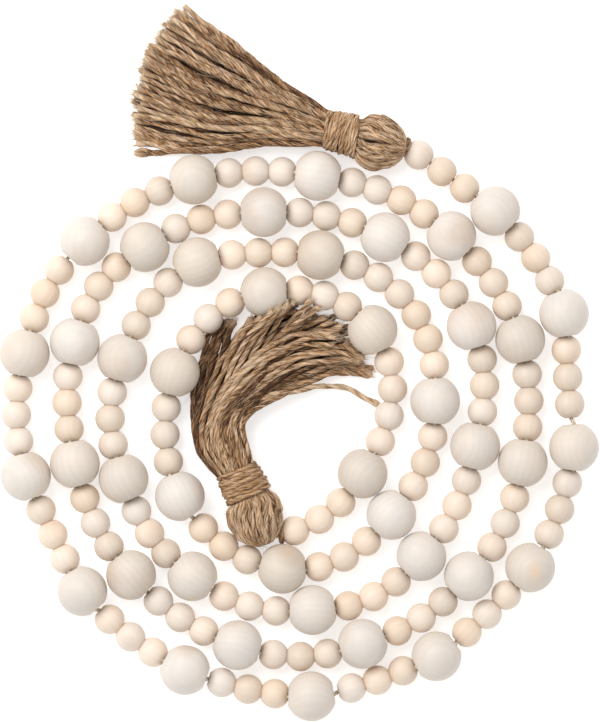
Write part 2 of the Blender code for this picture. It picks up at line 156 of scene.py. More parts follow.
# The darker locks here carry painted shade: the low bunch on the outer side, and those that reach under the rim of a
# bead.
SECOND_LOCKS = [
    Lock(9.6, 3.4, 2, -41.4, -12.4, -32.2, 14.8, -0.24),
    Lock(9.4, 4.6, 3, -39.2, -12.2, -28.8, 17.8, -0.2),
    Lock(8.2, 3.0, 3, -36.8, -10.8, -26.6, 17.4, -0.16),
    Lock(7.05, 2.8, 4, -34.4, -9.2, -16.4, 17.2, 0.0),
    Lock(4.7, 1.7, 5, -29.6, -7.6, -1.8, 22.6, 0.0),
    Lock(2.35, 1.0, 6, -24.6, -6.4, 5.6, 19.5, 0.0),
    Lock(0.0, 0.8, 6, -19.8, -6.0, 12.4, 16.2, 0.0),
    Lock(-2.35, 1.0, 6, -15.2, -6.6, 16.8, 12.2, 0.0),
    Lock(-4.7, 1.7, 5, -11.0, -7.8, 19.2, 7.4, 0.0),
    Lock(-7.05, 2.8, 4, -7.6, -9.4, 25.2, 1.4, -0.05),
    Lock(-9.4, 4.6, 3, -8.6, -13.4, 29.9, -4.2, -0.12),
    Lock(-9.4, 9.3, 1, 4.0, -10.6, 31.4, -17.2, 0.3),
]
# Strands on the floor that reach farther than the fan, as far as under the rim of a large bead, darkened with painted
# shade.
SECOND_UNDER = [
    Lock(-1.2, 1.0, 3, -17.2, -6.2, 16.4, 15.4, -0.42),
    Lock(-3.5, 1.0, 3, -13.0, -7.0, 20.8, 12.0, -0.42),
    Lock(-5.9, 1.0, 2, -9.2, -8.4, 23.8, 6.8, -0.36),
]
# Strands that lie over the others: where they stand across the last ring and how high, and the points that
# they pass by and end at, each with its height. The first ones of the second tassel end on a large bead's shoulder.
Over = namedtuple("Over", "across root_high by_x by_y by_high tip_x tip_y tip_high")
FIRST_OVER = [
    Over(-6.2, 12.6, -24.0, 116.0, 9.0, -50.4, 137.4, 3.8),
    Over(-1.5, 13.6, -29.0, 112.6, 9.6, -60.4, 126.6, 5.4),
    Over(0.8, 13.8, -33.4, 105.6, 9.6, -61.4, 120.2, 5.6),
    Over(3.6, 13.4, -34.8, 96.4, 9.4, -64.0, 106.4, 5.4),
    Over(6.6, 12.4, -35.4, 93.6, 8.6, -66.4, 98.6, 5.2),
]
SECOND_OVER = [
    Over(7.6, 12.8, -33.0, -8.4, 11.0, -15.6, 18.0, 14.0),
    Over(5.4, 13.2, -29.2, -7.6, 11.6, -11.6, 20.4, 17.6),
    Over(3.4, 13.4, -26.4, -7.4, 11.4, -8.6, 21.6, 17.2),
    Over(1.6, 13.6, -23.8, -6.6, 10.6, -5.4, 23.2, 15.0),
    Over(-0.6, 13.6, -20.4, -6.4, 9.6, -1.8, 24.8, 9.6),
    Over(-1.8, 13.6, -18.4, -6.2, 9.2, 4.0, 24.6, 11.6),
    Over(-2.8, 13.2, -16.4, -6.2, 8.6, 8.0, 22.0, 10.4),
    Over(0.4, 14.4, -20.8, -3.6, 12.4, 2.4, 17.8, 12.4),
    Over(2.6, 14.4, -18.8, 1.2, 13.6, 12.4, 11.2, 8.6),
    Over(1.4, 14.6, -17.8, -0.8, 13.8, 14.2, 9.2, 8.8),
    Over(0.2, 14.4, -16.8, -2.8, 13.2, 13.4, 7.2, 8.0),
    Over(-4.4, 13.0, -12.6, -4.6, 9.0, 16.4, 14.4, 7.2),
    Over(-3.8, 13.6, -9.4, -1.4, 11.2, 23.4, 4.0, 6.2),
    Over(-5.0, 13.2, -8.4, -3.2, 11.4, 25.6, 2.0, 6.4),
    Over(-6.4, 12.6, -7.4, -5.2, 10.4, 24.0, -0.2, 5.8),
]
# How wide a strand is and how far its neighbour in the lock lies from it, at shares of the way along.
Step = namedtuple("Step", "along width apart")
FIRST_STEPS = [
    Step(0.0, 2.2, 0.0),
    Step(0.18, 2.8, 0.1),
    Step(0.38, 2.7, 0.5),
    Step(0.60, 2.2, 1.5),
    Step(0.85, 2.0, 2.2),
    Step(1.0, 2.1, 2.4),
]
SECOND_STEPS = [
    Step(0.0, 2.0, 0.0),
    Step(0.18, 2.2, 0.1),
    Step(0.38, 2.4, 0.9),
    Step(0.60, 2.2, 1.9),
    Step(0.85, 2.2, 2.6),
    Step(1.0, 2.4, 2.8),
]
# Places where the yarns of a head part and its dark middle, painted shade, shows: the angle round the head, with 0 at
# its left and a quarter turn on top, and the shares of the way from the binding to the tip where the parting starts and
# ends.
Parting = namedtuple("Parting", "angle start end")
FIRST_PARTINGS = [Parting(1.55, -0.15, 0.6), Parting(2.35, 0.35, 0.85)]
SECOND_PARTINGS = [Parting(1.0, 0.5, 1.0)]
# The yarns beside a parting turn away from it by up to this angle, and less the farther off they are.
PARTED = 0.1
PARTING_REACH = 0.8
# Where the string leaves each head, and the way that it goes there.
FIRST_LEAVES = (43.2, 85.5, 1.0, -0.2)
SECOND_LEAVES = (-7.4, -69.2, 1.0, 0.1)
# The yarn that is wound round the string there: the radius of its turns, how high their middle lies, and its own.
COLLAR_RADIUS = 3.2
COLLAR_HEIGHT = 7.0
COLLAR_YARN = 0.85
# A strand stands this much higher than the one below it, at the head and where it lies on the floor.
ROOT_RISE = 2.35
LAYER_RISE = 2.1
# Strands fall as this power of the way along, and lie level from this share of it on.
FALL_POWER = 3.0
LEVEL_FROM = 0.85
# How far short of its tip or past it a strand is cut.
SHORTEST_CUT = -2.5
LONGEST_CUT = 0.5
# The lower strands of a lock that stands less than this far across lie in shade, and look darker by this much
# except near their ends. The shade of a tassel's own strands reaches a little farther across.
INNER_ACROSS = 7
SHADED_ACROSS = 8
LOWER_DARKER = 0.4
# The strands between two locks: the painted shade that darkens them, where those locks are inner ones and where they
# are not, and how many a gap holds.
BETWEEN_DARKER = 0.6
OUTER_BETWEEN_DARKER = 0.1
BETWEEN_STRANDS = 3
# All strands grow lighter towards their cut ends, by this much. Those over the others are lighter all along with
# painted light, by OVER_LIGHTER and by OVER_UNSHADED of the painted shade that darkens the others, and a little
# thinner.
TIPS_LIGHTER = 0.1
OVER_LIGHTER = 0.04
OVER_UNSHADED = 0.7
OVER_THINNER = 0.98
# The loose strand of the first tassel ends in an untwisted tuft this many times as wide, this long and this much
# lighter.
TUFT_WIDER = 2.0
TUFT_LENGTH = 6.5
TUFT_LIGHTER = 0.3
SEED = 7
# A strand lies a little flattened, just over the floor, and is drawn with this many rings past its head and
# SLEEVE_RINGS within it, where its radius is SLEEVE_RADIUS. It starts SLEEVE_HIDDEN inside the binding, and its line
# and its widths are smoothed in so many passes.
FLAT = 0.88
FLOOR_GAP = 0.02
STRAND_RINGS = 84
SLEEVE_RINGS = 16
SLEEVE_RADIUS = 0.95
SLEEVE_HIDDEN = 5.0
LINE_PASSES = 40
WIDTH_PASSES = 16
# How long a strand is taken to be where its swings are worked out, and how long one swing to the side is. Then how
# far and over what length it swings up and down, and its width wavers.
SWING_LENGTH = 85.0
SIDE_WAVE = 38.0
STRAND_RISES = (0.3, 30.0)
STRAND_WAVERS = (0.06, 16.0)
# It is kept clear of the beads as if it were this many times as thick, because its yarn is drawn thicker than its
# line says.
CLEAR_THICKER = 1.15
# How far from its cut end a strand opens and by how much, how long one twist of its plies is, from the tightest to
# the loosest, and its tone, from 0 for dark jute to 1 for light, with the spread of that.
OPEN_LENGTH = 3.5
OPEN_WIDER = 0.14
STRAND_TWIST = (13.0, 20.0)
STRAND_TONE = 0.48
TONE_SPREAD = 0.12
# Points round a yarn, and how far the middle points of its two ends stand out, as shares of its radius.
YARN_SIDES = 10
NEAR_CAP = 0.2
FAR_CAP = 0.3
# The dark middle of a head, painted shade that shows between its yarns: its points round and rings, how far inside the
# head it lies and how far before the head's last ring it ends, and its least radius and its tone.
CORE_SIDES = 16
CORE_RINGS = 40
CORE_DEPTH = 3.0
CORE_SHORT = 1.5
CORE_LEAST = 0.6
CORE_SHADE_TONE = 0.12
# The folded yarns of a head, in two layers: how many, how deep their middles lie, their radius and their tone. The
# deeper layer's darker tone is painted shade.
FOLDS = ((24, 2.3, 1.25, 0.42), (29, 1.1, 1.12, 0.64))
# Their tone spreads by this much. They start this far inside the binding and have this many rings to the tip.
FOLD_SPREAD = 0.09
FOLD_HIDDEN = 4.0
FOLD_RINGS = 64
# How long they are taken to be for their twist, between which lengths one twist lies, and how long they are taken to
# be for their swings. Then how far and over what length they swing round the head, in radians, and out from it.
FOLD_TWISTED = 34.0
FOLD_TWIST = (24.0, 40.0)
FOLD_LENGTH = 30.0
FOLD_TURNS = (0.1, 34.0)
FOLD_RISES = (0.35, 24.0)
# Where the folded yarns turn in at the tip: how far ahead of it, and the half width and half height of the ring there.
TURNED_IN = ((0.9, 2.5, 2.5), (0.5, 1.6, 1.6), (-1.2, 1.2, 1.2), (-3.0, 1.0, 1.0))
TIP_HEIGHT = 10.0
# The yarn of a binding has a ring every so many mm and twists once in this length. A turn is about so many mm long.
WOUND_STEP = 0.8
WOUND_TWIST = 14.0
WOUND_TURN = 48
# It is drawn this many times as wide as its setting. How far and over what length it strays along the neck, out from
# it and in its slant, and how much and over what length its width and its tone waver.
WOUND_WIDER = 1.2
WOUND_STRAYS = 0.2
STRAY_WAVE = 60.0
WOUND_RISES = (0.12, 35.0)
WOUND_LEANS = (0.05, 90.0)
WOUND_WAVERS = (0.08, 18.0)
WOUND_TONES = (0.1, 45.0)
# How long the longest stray fibres are. How many folded yarns of a head have some, how deep these lie, and their
# radius. How many fibres stand out of each cut end, and how much thicker those are.
FIBRE_LENGTH = 12.0
FUZZY_FOLDS = 24
FUZZY_DEPTH = 0.6
FUZZY_RADIUS = 0.7
FRAYED = 9
FRAYED_THICKER = 1.5
# Yarns and fibres keep this far off the beads, and fibres this far over the floor.
BEAD_GAP = 0.05
FIBRE_LOW = 0.15
UP = (0.0, 0.0, 1.0)
# Fibres take their sides from this direction, because some of them stand straight up.
NEAR_UP = (0.05, 0.03, 1.0)

# A tassel's name, its head, and its strands, with how many of the gaps between its locks stay open, from the first
# on, and how many strands of a lock lie side by side. Then its steps and partings, where the string leaves it, and its
# binding's turns, their slant and tone. Last, how far its strands swing and how much their middle part lies in shade.
Tassel = namedtuple(
    "Tassel",
    "name head locks under over open_locks stacks steps partings leaves turns slant wound swing shade",
)
TASSELS = [
    Tassel(
        "first", FIRST_HEAD, FIRST_LOCKS, [], FIRST_OVER, open_locks=0, stacks=3, steps=FIRST_STEPS,
        partings=FIRST_PARTINGS, leaves=FIRST_LEAVES, turns=11, slant=-0.07, wound=0.63, swing=0.5, shade=0.0,
    ),
    Tassel(
        "second", SECOND_HEAD, SECOND_LOCKS, SECOND_UNDER, SECOND_OVER, open_locks=3, stacks=2, steps=SECOND_STEPS,
        partings=SECOND_PARTINGS, leaves=SECOND_LEAVES, turns=9, slant=0.06, wound=0.53, swing=0.85, shade=0.24,
    ),
]

# The photograph is taken from straight above. The frame is 600 x 722 pixels, at this many millimetres a pixel for
# what lies AIM_HEIGHT up. The camera stands CAMERA_HEIGHT over that. The lamp is a disk LAMP_WIDE across that points
# at the origin, and the floor reaches FLOOR_REACH each way. From CAMERA_HEIGHT on these are in metres.
PIXEL = 0.4
FRAME_TALL = 722
CAMERA_SENSOR = 36.0
CAMERA_HEIGHT = 2.0
AIM_HEIGHT = 0.008
LAMP_WIDE = 1.1
LAMP_PLACE = (-0.54, 0.56, 1.1)
FLOOR_REACH = 3.0

Surface = namedtuple("Surface", "points faces fields")
Bead = namedtuple("Bead", "large place heading before after")
# The plane that ends a bead: how far off it is, and the parts of its heading along and to the left of the bead's.
End = namedtuple("End", "room along left")
Joint = namedtuple("Joint", "place heading height")


def to_linear(hex_colour):
    """An sRGB hex colour as linear numbers: c / 12.92 up to 0.04045, and ((c + 0.055) / 1.055) ^ 2.4 above that."""
    channels = np.array([int(hex_colour[at : at + 2], 16) for at in (0, 2, 4)]) / 255
    return tuple(np.where(channels <= 0.04045, channels / 12.92, ((channels + 0.055) / 1.055) ** 2.4).tolist())


def unit(vectors):
    """Each vector at length one."""
    vectors = np.asarray(vectors, float)
    return vectors / np.maximum(np.linalg.norm(vectors, axis=-1, keepdims=True), 1e-9)


def left_of(headings):
    """The direction to the left of each heading in plan: (-y, x)."""
    headings = np.asarray(headings, float)
    return np.stack([-headings[..., 1], headings[..., 0]], axis=-1)


def flat_to_solid(places, heights):
    """Plan points and their heights as points in space."""
    places = np.asarray(places, float)
    return np.concatenate([places, np.broadcast_to(heights, places.shape[:-1])[..., None]], axis=-1)


def distances_along(points):
    """How far along its path each point lies, for one path or for several."""
    steps = np.linalg.norm(np.diff(points, axis=-2), axis=-1)
    return np.concatenate([np.zeros_like(steps[..., :1]), np.cumsum(steps, axis=-1)], axis=-1)


def sides_of(ahead, up=UP):
    """The two directions square to each way ahead: side is up x ahead, and rise is ahead x side."""
    side = unit(np.cross(np.broadcast_to(up, ahead.shape), ahead))
    return side, np.cross(ahead, side)


def headings_at(points, first=None):
    """Headings at points of a curve: each is that of the circle through the point and its neighbours."""
    chords = np.diff(points, axis=0)
    lengths = np.linalg.norm(chords, axis=1)[:, None]
    inner = unit(chords[:-1] / lengths[:-1] ** 2 + chords[1:] / lengths[1:] ** 2)
    along = chords / lengths
    start = 2 * np.dot(inner[0], along[0]) * along[0] - inner[0] if first is None else unit(first)
    end = 2 * np.dot(inner[-1], along[-1]) * along[-1] - inner[-1]
    return np.vstack([start, inner, end])


def curve_through(points, swings=None, first=None):
    """A smooth plan curve through the points, as spans of ROUTE_STEPS short steps.

    Each span is a cubic that leaves and meets its points along their headings. A swing bows the
    span to the left by that much at its middle, as half a sine wave.
    """
    points = np.asarray(points, float)
    headings = headings_at(points, first)
    part = np.linspace(0.0, 1.0, ROUTE_STEPS, endpoint=False)[:, None]
    spans = []
    for index in range(len(points) - 1):
        start, end = points[index], points[index + 1]
        chord = np.linalg.norm(end - start)
        turn = math.acos(min(1.0, float(np.dot(headings[index], unit(end - start)))))
        arc = chord * (turn / math.sin(turn) if turn > 0.001 else 1.0)
        span = (
            (2 * part**3 - 3 * part**2 + 1) * start
            + (part**3 - 2 * part**2 + part) * arc * headings[index]
            + (3 * part**2 - 2 * part**3) * end
            + (part**3 - part**2) * arc * headings[index + 1]
        )
        if swings is not None:
            span = span + swings[index] * np.sin(math.pi * part) * left_of(unit(end - start))
        spans.append(span)
    return np.vstack(spans + [points[-1:]])


class Path:
    """A plan curve that can be read at any distances from its start."""

    def __init__(self, points):
        self.points = points
        self.reach = distances_along(points)
        self.length = float(self.reach[-1])

    def read(self, distances):
        """The curve's own points at distances within it."""
        return np.stack([np.interp(distances, self.reach, self.points[:, axis]) for axis in (0, 1)], axis=-1)

    def heading(self, distances):
        """The direction of travel at distances."""
        low = np.clip(np.asarray(distances) - 0.5, 0.0, self.length - 1.0)
        return unit(self.read(low + 1.0) - self.read(low))

    def at(self, distances):
        """The points at distances, carried on straight past either end."""
        near = np.clip(distances, 0.0, self.length)
        return self.read(near) + np.asarray(distances - near)[..., None] * self.heading(near)


def bead_at(path, distance, large, before, after):
    """One bead on the string, with the room that it has on either side of its middle."""
    return Bead(large, path.at(distance), path.heading(distance), before, after)


def string_runs():
    """The beads of each run in order: the small ones before the first large bead, then each repeat."""
    points = [STRING_START] + [(row.x, row.y) for row in REPEATS] + [STRING_END]
    path = Path(curve_through(points, [FIRST_SWING] + [row.swing for row in REPEATS]))
    half_large = LARGE_LENGTH / 2
    half_small = SMALL_LENGTH / 2
    first = float(path.reach[ROUTE_STEPS])
    squeeze = first / (half_large + SMALL_LENGTH * SMALL_BEFORE_FIRST)
    half = half_small * squeeze
    runs = [[]]
    for index in range(SMALL_BEFORE_FIRST):
        runs[0].append(bead_at(path, half + SMALL_LENGTH * index * squeeze, False, half, half))
    for number, row in enumerate(REPEATS):
        start = float(path.reach[ROUTE_STEPS * (number + 1)])
        room = float(path.reach[ROUTE_STEPS * (number + 2)]) - start
        need = LARGE_LENGTH + SMALL_LENGTH * row.small_after
        before = half_large * squeeze
        squeeze = min(1.0, room / need) if number + 1 < len(REPEATS) else 1.0
        beads = [bead_at(path, start, True, before, half_large * squeeze)]
        for index in range(row.small_after):
            ahead = half_large + half_small + SMALL_LENGTH * index
            half = half_small * squeeze
            beads.append(bead_at(path, start + ahead * squeeze, False, half, half))
        runs.append(beads)
    return runs


def bead_radius(bead):
    """Half the diameter of a bead, which is also how high its middle lies."""
    return (LARGE_DIAMETER if bead.large else SMALL_DIAMETER) / 2


def joint_between(bead, after):
    """Where two beads meet: a plane across the string at the face of the second one."""
    heading = unit(bead.heading + after.heading)
    share = after.before / (bead.after + after.before)
    apart = np.linalg.norm(after.place - bead.place)
    share = min(share, after.before / apart)
    place = after.place + (bead.place - after.place) * share
    height = bead_radius(after) + (bead_radius(bead) - bead_radius(after)) * share
    return Joint(place, heading, height)


def fitted(runs):
    """The runs again, with each bead's room before and after it turned into the plane that ends it there.

    Beads that touch end at the plane of their joint, JOINT_GAP off it. Where there is bare string between
    two beads, each ends at its own length, straight across its bore.
    """
    beads = [bead for run in runs for bead in run]
    ends = [[End((LARGE_LENGTH if bead.large else SMALL_LENGTH) / 2, 1.0, 0.0)] * 2 for bead in beads]
    for index, (bead, after) in enumerate(zip(beads, beads[1:])):
        joint = joint_between(bead, after)
        for own, side, sign in ((index, 1, 1.0), (index + 1, 0, -1.0)):
            it = beads[own]
            along = float(np.dot(it.heading, joint.heading))
            left = sign * float(np.dot(left_of(it.heading), joint.heading))
            room = sign * float(np.dot(joint.place - it.place, joint.heading)) - JOINT_GAP
            if room < ends[own][side].room:
                ends[own][side] = End(room, along, left)
    cut = [bead._replace(before=before, after=after) for bead, (before, after) in zip(beads, ends)]
    counts = np.cumsum([0] + [len(run) for run in runs])
    return [cut[start:stop] for start, stop in zip(counts, counts[1:])]


def joined(surfaces):
    """Several surfaces as one, each after the last in the list of points."""
    starts = np.cumsum([0] + [len(surface.points) for surface in surfaces])
    faces = [rows + start for surface, start in zip(surfaces, starts) for rows in surface.faces]
    fields = {name: np.concatenate([surface.fields[name] for surface in surfaces]) for name in surfaces[0].fields}
    return Surface(np.concatenate([surface.points for surface in surfaces]), faces, fields)


def ring_faces(rings, sides, closed=False):
    """Quads that join rings of points in order, with the last ring joined to the first if closed.

    Point p of ring r is number r * sides + p. Seen from outside, each quad runs once round, then on.
    """
    ring = np.arange(rings if closed else rings - 1)[:, None]
    side = np.arange(sides)[None, :]
    near, far = ring * sides, (ring + 1) % rings * sides
    after = (side + 1) % sides
    return np.stack([near + side, near + after, far + after, far + side], axis=-1).reshape(-1, 4)


def repeated(faces, copies, step):
    """The same faces for each of several shapes whose points follow on from one another."""
    return (faces[None] + (np.arange(copies) * step)[:, None, None]).reshape(-1, faces.shape[1])


def turned_balls(beads, radius, bore, sides, steps, chance):
    """Turned balls with a bore along their heading, all of one size, as one surface.

    A point of the ball is middle + radius * (-cos a * heading + sin a * (cos t * left + sin t * up)). The plane
    that ends it meets it at a = d + acos(room / (radius * m)), where (m, d) is the plane's heading in the slice at t,
    as a length and an angle. The flat end lies in that plane and has an eased edge, and the bore joins both ends.
    The field "turned" is the place in a bead's own wood, with the grain along its third number, and "knot" is
    exp(-d ^ 2) at d reaches from the knot.
    """
    count = len(beads)
    turn = np.arange(sides) * 2 * math.pi / sides

    def end_of(side):
        """Where the plane of one end meets each bead: the angle, the flat end's edge and the mouth of the bore."""
        room, ahead, left = np.array([bead[side] for bead in beads])[:, :, None].transpose(1, 0, 2)
        aside = left * np.cos(turn)
        sweep = np.arctan2(aside, ahead) + np.arccos(np.minimum(room / (radius * np.hypot(aside, ahead)), 1.0))
        edge = radius * np.sin(sweep) - EASED_EDGE
        return sweep, (room - aside * edge) / ahead, edge, (room - aside * bore) / ahead

    first, first_face, first_edge, first_mouth = end_of(3)
    last, last_face, last_edge, last_mouth = end_of(4)
    part = np.linspace(0.0, 1.0, steps)[None, :, None]
    sweep = first[:, None] * (1 - part) + (math.pi - last[:, None]) * part
    wide = np.full((count, sides), bore)
    start = np.stack([-first_mouth + MOUTH, -first_mouth, -first_face], axis=1)
    end = np.stack([last_face, last_mouth, last_mouth - MOUTH], axis=1)
    along = np.concatenate([start, -radius * np.cos(sweep), end], axis=1)
    start = np.stack([wide, wide + MOUTH, first_edge], axis=1)
    end = np.stack([last_edge, wide + MOUTH, wide], axis=1)
    out = np.concatenate([start, radius * np.sin(sweep), end], axis=1)

    heading = flat_to_solid([bead.heading for bead in beads], 0.0)[:, None, None]
    left = flat_to_solid(left_of([bead.heading for bead in beads]), 0.0)[:, None, None]
    middle = flat_to_solid([bead.place for bead in beads], radius)[:, None, None]
    across, rise = out * np.cos(turn), out * np.sin(turn)
    points = middle + along[..., None] * heading + across[..., None] * left
    points = points + rise[..., None] * np.array(UP)

    roll = chance.uniform(0, 2 * math.pi, (count, 1, 1))
    own = [across * np.cos(roll) - rise * np.sin(roll), across * np.sin(roll) + rise * np.cos(roll), along]
    turned = np.stack(own, axis=-1) + chance.uniform(-WOOD_REACH, WOOD_REACH, (count, 1, 1, 3))
    rings = steps + 6
    tint = np.broadcast_to(chance.uniform(0, 1, (count, 1, 1, 3)), points.shape).copy()
    tint[..., 2] = 1.0 if beads[0].large else 0.0
    faces = repeated(ring_faces(rings, sides, closed=True), count, rings * sides)
    knot = np.exp(-np.sum(((points - KNOT) / KNOT_REACH) ** 2, axis=-1, keepdims=True))
    fields = {
        "turned": turned.reshape(-1, 3) * MM,
        "tint": tint.reshape(-1, 3),
        "knot": np.repeat(knot.reshape(-1, 1), 3, axis=1),
    }
    return Surface(points.reshape(-1, 3), [faces], fields)


def outline_of_plies(around, plies):
    """How far out the outline of round plies laid together stands at each angle, with 1 at the top of a ply.

    Each ply is a circle of radius 0.78 about a middle 0.22 out. At angle p from the nearest ply the outline
    stands at 0.22 * cos p + sqrt(0.608 - (0.22 * sin p) ^ 2).
    """
    if plies < 2:
        return np.ones_like(around)
    share = 2 * math.pi / plies
    off = (around + share / 2) % share - share / 2
    return 0.22 * np.cos(off) + np.sqrt(0.608 - (0.22 * np.sin(off)) ** 2)


def tubes(centres, up, radii, turns, sides, plies=1, flat=1.0, tone=0.5, cut=0.0, start=0.0):
    """Tubes carried along paths, many at once, with plies that twist round them.

    centres holds the paths as tubes x rings x 3. At each ring, ahead is the way the path goes, and side and rise are
    the directions square to it. Point p of a ring stands at
    centre + radius * outline * (cos t * side + flat * sin t * rise), with t = 2 * pi * p / sides + turns.
    A fan about a middle point closes each end. What would dip under the floor is pressed flat just over it.
    The field "yarn" is the place in the yarn as if it lay straight, and "look" holds tone, ridge and cut. The ridge is
    0 in the grooves between plies, where the finish paints shade, and 1 on top of a ply.
    """
    count, rings = centres.shape[:2]
    ahead = unit(np.gradient(centres, axis=1))
    side, rise = sides_of(ahead, up)
    around = np.arange(sides) * 2 * math.pi / sides
    outline = outline_of_plies(around, plies)
    angle = around + turns[..., None]
    reach = radii[..., None] * outline
    points = centres[:, :, None] + (reach * np.cos(angle))[..., None] * side[:, :, None]
    points = points + flat * (reach * np.sin(angle))[..., None] * rise[:, :, None]
    points[..., 2] = np.maximum(points[..., 2], FLOOR_GAP)
    near_cap = centres[:, 0] - NEAR_CAP * radii[:, :1] * ahead[:, 0]
    far_cap = centres[:, -1] + FAR_CAP * radii[:, -1:] * ahead[:, -1]

    along = (distances_along(centres) + np.broadcast_to(start, (count,))[:, None])[..., None]
    yarn = np.stack(np.broadcast_arrays(reach * np.cos(around), reach * np.sin(around), along), axis=-1)
    ridge = (outline - outline.min()) / max(float(np.ptp(outline)), 1e-9) if plies > 1 else np.ones(sides)
    whole = (count, rings, sides)

    def on_all(part):
        """A number for all points, for each tube, or for each ring, given to every point."""
        part = np.asarray(part, float)
        return np.broadcast_to(part.reshape(part.shape + (1,) * (3 - part.ndim)), whole)

    look = np.stack([on_all(tone), np.broadcast_to(ridge, whole), on_all(cut)], axis=-1)

    def with_caps(body, ends):
        """The rows of the rings' points, and then those of the middle points of both ends, tube after tube."""
        return np.concatenate([body.reshape(count, rings * sides, 3), ends], axis=1).reshape(-1, 3)

    total = rings * sides
    p = np.arange(sides)
    after = (p + 1) % sides
    last = total - sides
    near_fan = np.stack([np.full(sides, total), after, p], axis=-1)
    far_fan = np.stack([np.full(sides, total + 1), last + p, last + after], axis=-1)
    quads = repeated(ring_faces(rings, sides), count, total + 2)
    fans = repeated(np.concatenate([near_fan, far_fan]), count, total + 2)
    fields = {
        "yarn": with_caps(yarn, yarn[:, [0, -1]].mean(axis=2)) * MM,
        "look": with_caps(look, look[:, [0, -1]].mean(axis=2)),
    }
    return Surface(with_caps(points, np.stack([near_cap, far_cap], axis=1)), [quads, fans], fields)


def smoothed(points, passes):
    """Paths with each inner point moved, so many times, to half of itself and a quarter of each neighbour."""
    points = points.copy()
    for _ in range(passes):
        points[:, 1:-1] = 0.25 * points[:, :-2] + 0.5 * points[:, 1:-1] + 0.25 * points[:, 2:]
    return points


def resampled(points, step):
    """A path with its points a step apart."""
    reach = distances_along(points)
    wanted = np.linspace(0.0, reach[-1], int(reach[-1] / step) + 1)
    return np.stack([np.interp(wanted, reach, points[:, axis]) for axis in range(3)], axis=-1)


def wander(count, rings, length, size, wave, chance):
    """Gentle swings along several paths: two sine waves of random phase, the second shorter and half as large."""
    along = np.linspace(0.0, length, rings)[None, :]
    first, second = chance.uniform(0, 2 * math.pi, (2, count, 1))
    waves = wave * chance.uniform(0.8, 1.25, (count, 1))
    long_wave = np.sin(2 * math.pi * along / waves + first)
    short_wave = np.sin(5 * math.pi * along / waves + second)
    return size * (long_wave + 0.5 * short_wave) / 1.5


def ring_reader(head):
    """Distances of a head's rings from its last one, and a function that reads a ring at any such distance.

    Distances are negative towards the tip. Between rings each number of a ring changes evenly.
    """
    table = np.array(head)
    steps = np.linalg.norm(np.diff(table[:, :2], axis=0), axis=1)
    away = -np.concatenate([np.cumsum(steps[::-1])[::-1], [0.0]])

    def read(distances):
        return np.stack([np.interp(distances, away, table[:, column]) for column in range(5)], axis=-1)

    return away, read


def oval(sections):
    """The heights of the middles of a head's sections, and half of how tall they are."""
    low, high = sections[:, 3], sections[:, 4]
    return (low + high) / 2, (high - low) / 2


def clear_of_beads(paths, radii, low):
    """Paths of yarns or fibres with each point that would lie inside a bead moved out of it.

    A bead is taken as a ball of radius R on the floor. A point of radius r that is nearer to its middle than R + r
    moves straight away from it to that distance. Where that would be lower than low, it keeps to low and moves
    level to sqrt((R + r) ^ 2 - h ^ 2) from the middle, h being how much lower it is than the middle.
    """
    for bead in [bead for run in string_runs() for bead in run]:
        middle = np.append(bead.place, bead_radius(bead))
        reach = bead_radius(bead) + radii + BEAD_GAP
        away = paths - middle
        apart = np.linalg.norm(away, axis=-1)
        inside = apart < reach
        if inside.any():
            away = np.where(inside[..., None], away * (reach / apart)[..., None], away)
            away[..., 2] = np.where(inside, np.maximum(away[..., 2], low - middle[2]), away[..., 2])
            level = np.linalg.norm(away[..., :2], axis=-1)
            wanted = np.sqrt(np.maximum(reach**2 - away[..., 2] ** 2, 0.0))
            away[..., :2] = away[..., :2] * np.where(inside & (level < wanted), wanted / level, 1.0)[..., None]
            paths = middle + away
    return paths


def head_way(head):
    """The heading of the last ring, away from the tip."""
    return unit(np.subtract(head[-1][:2], head[-2][:2]))


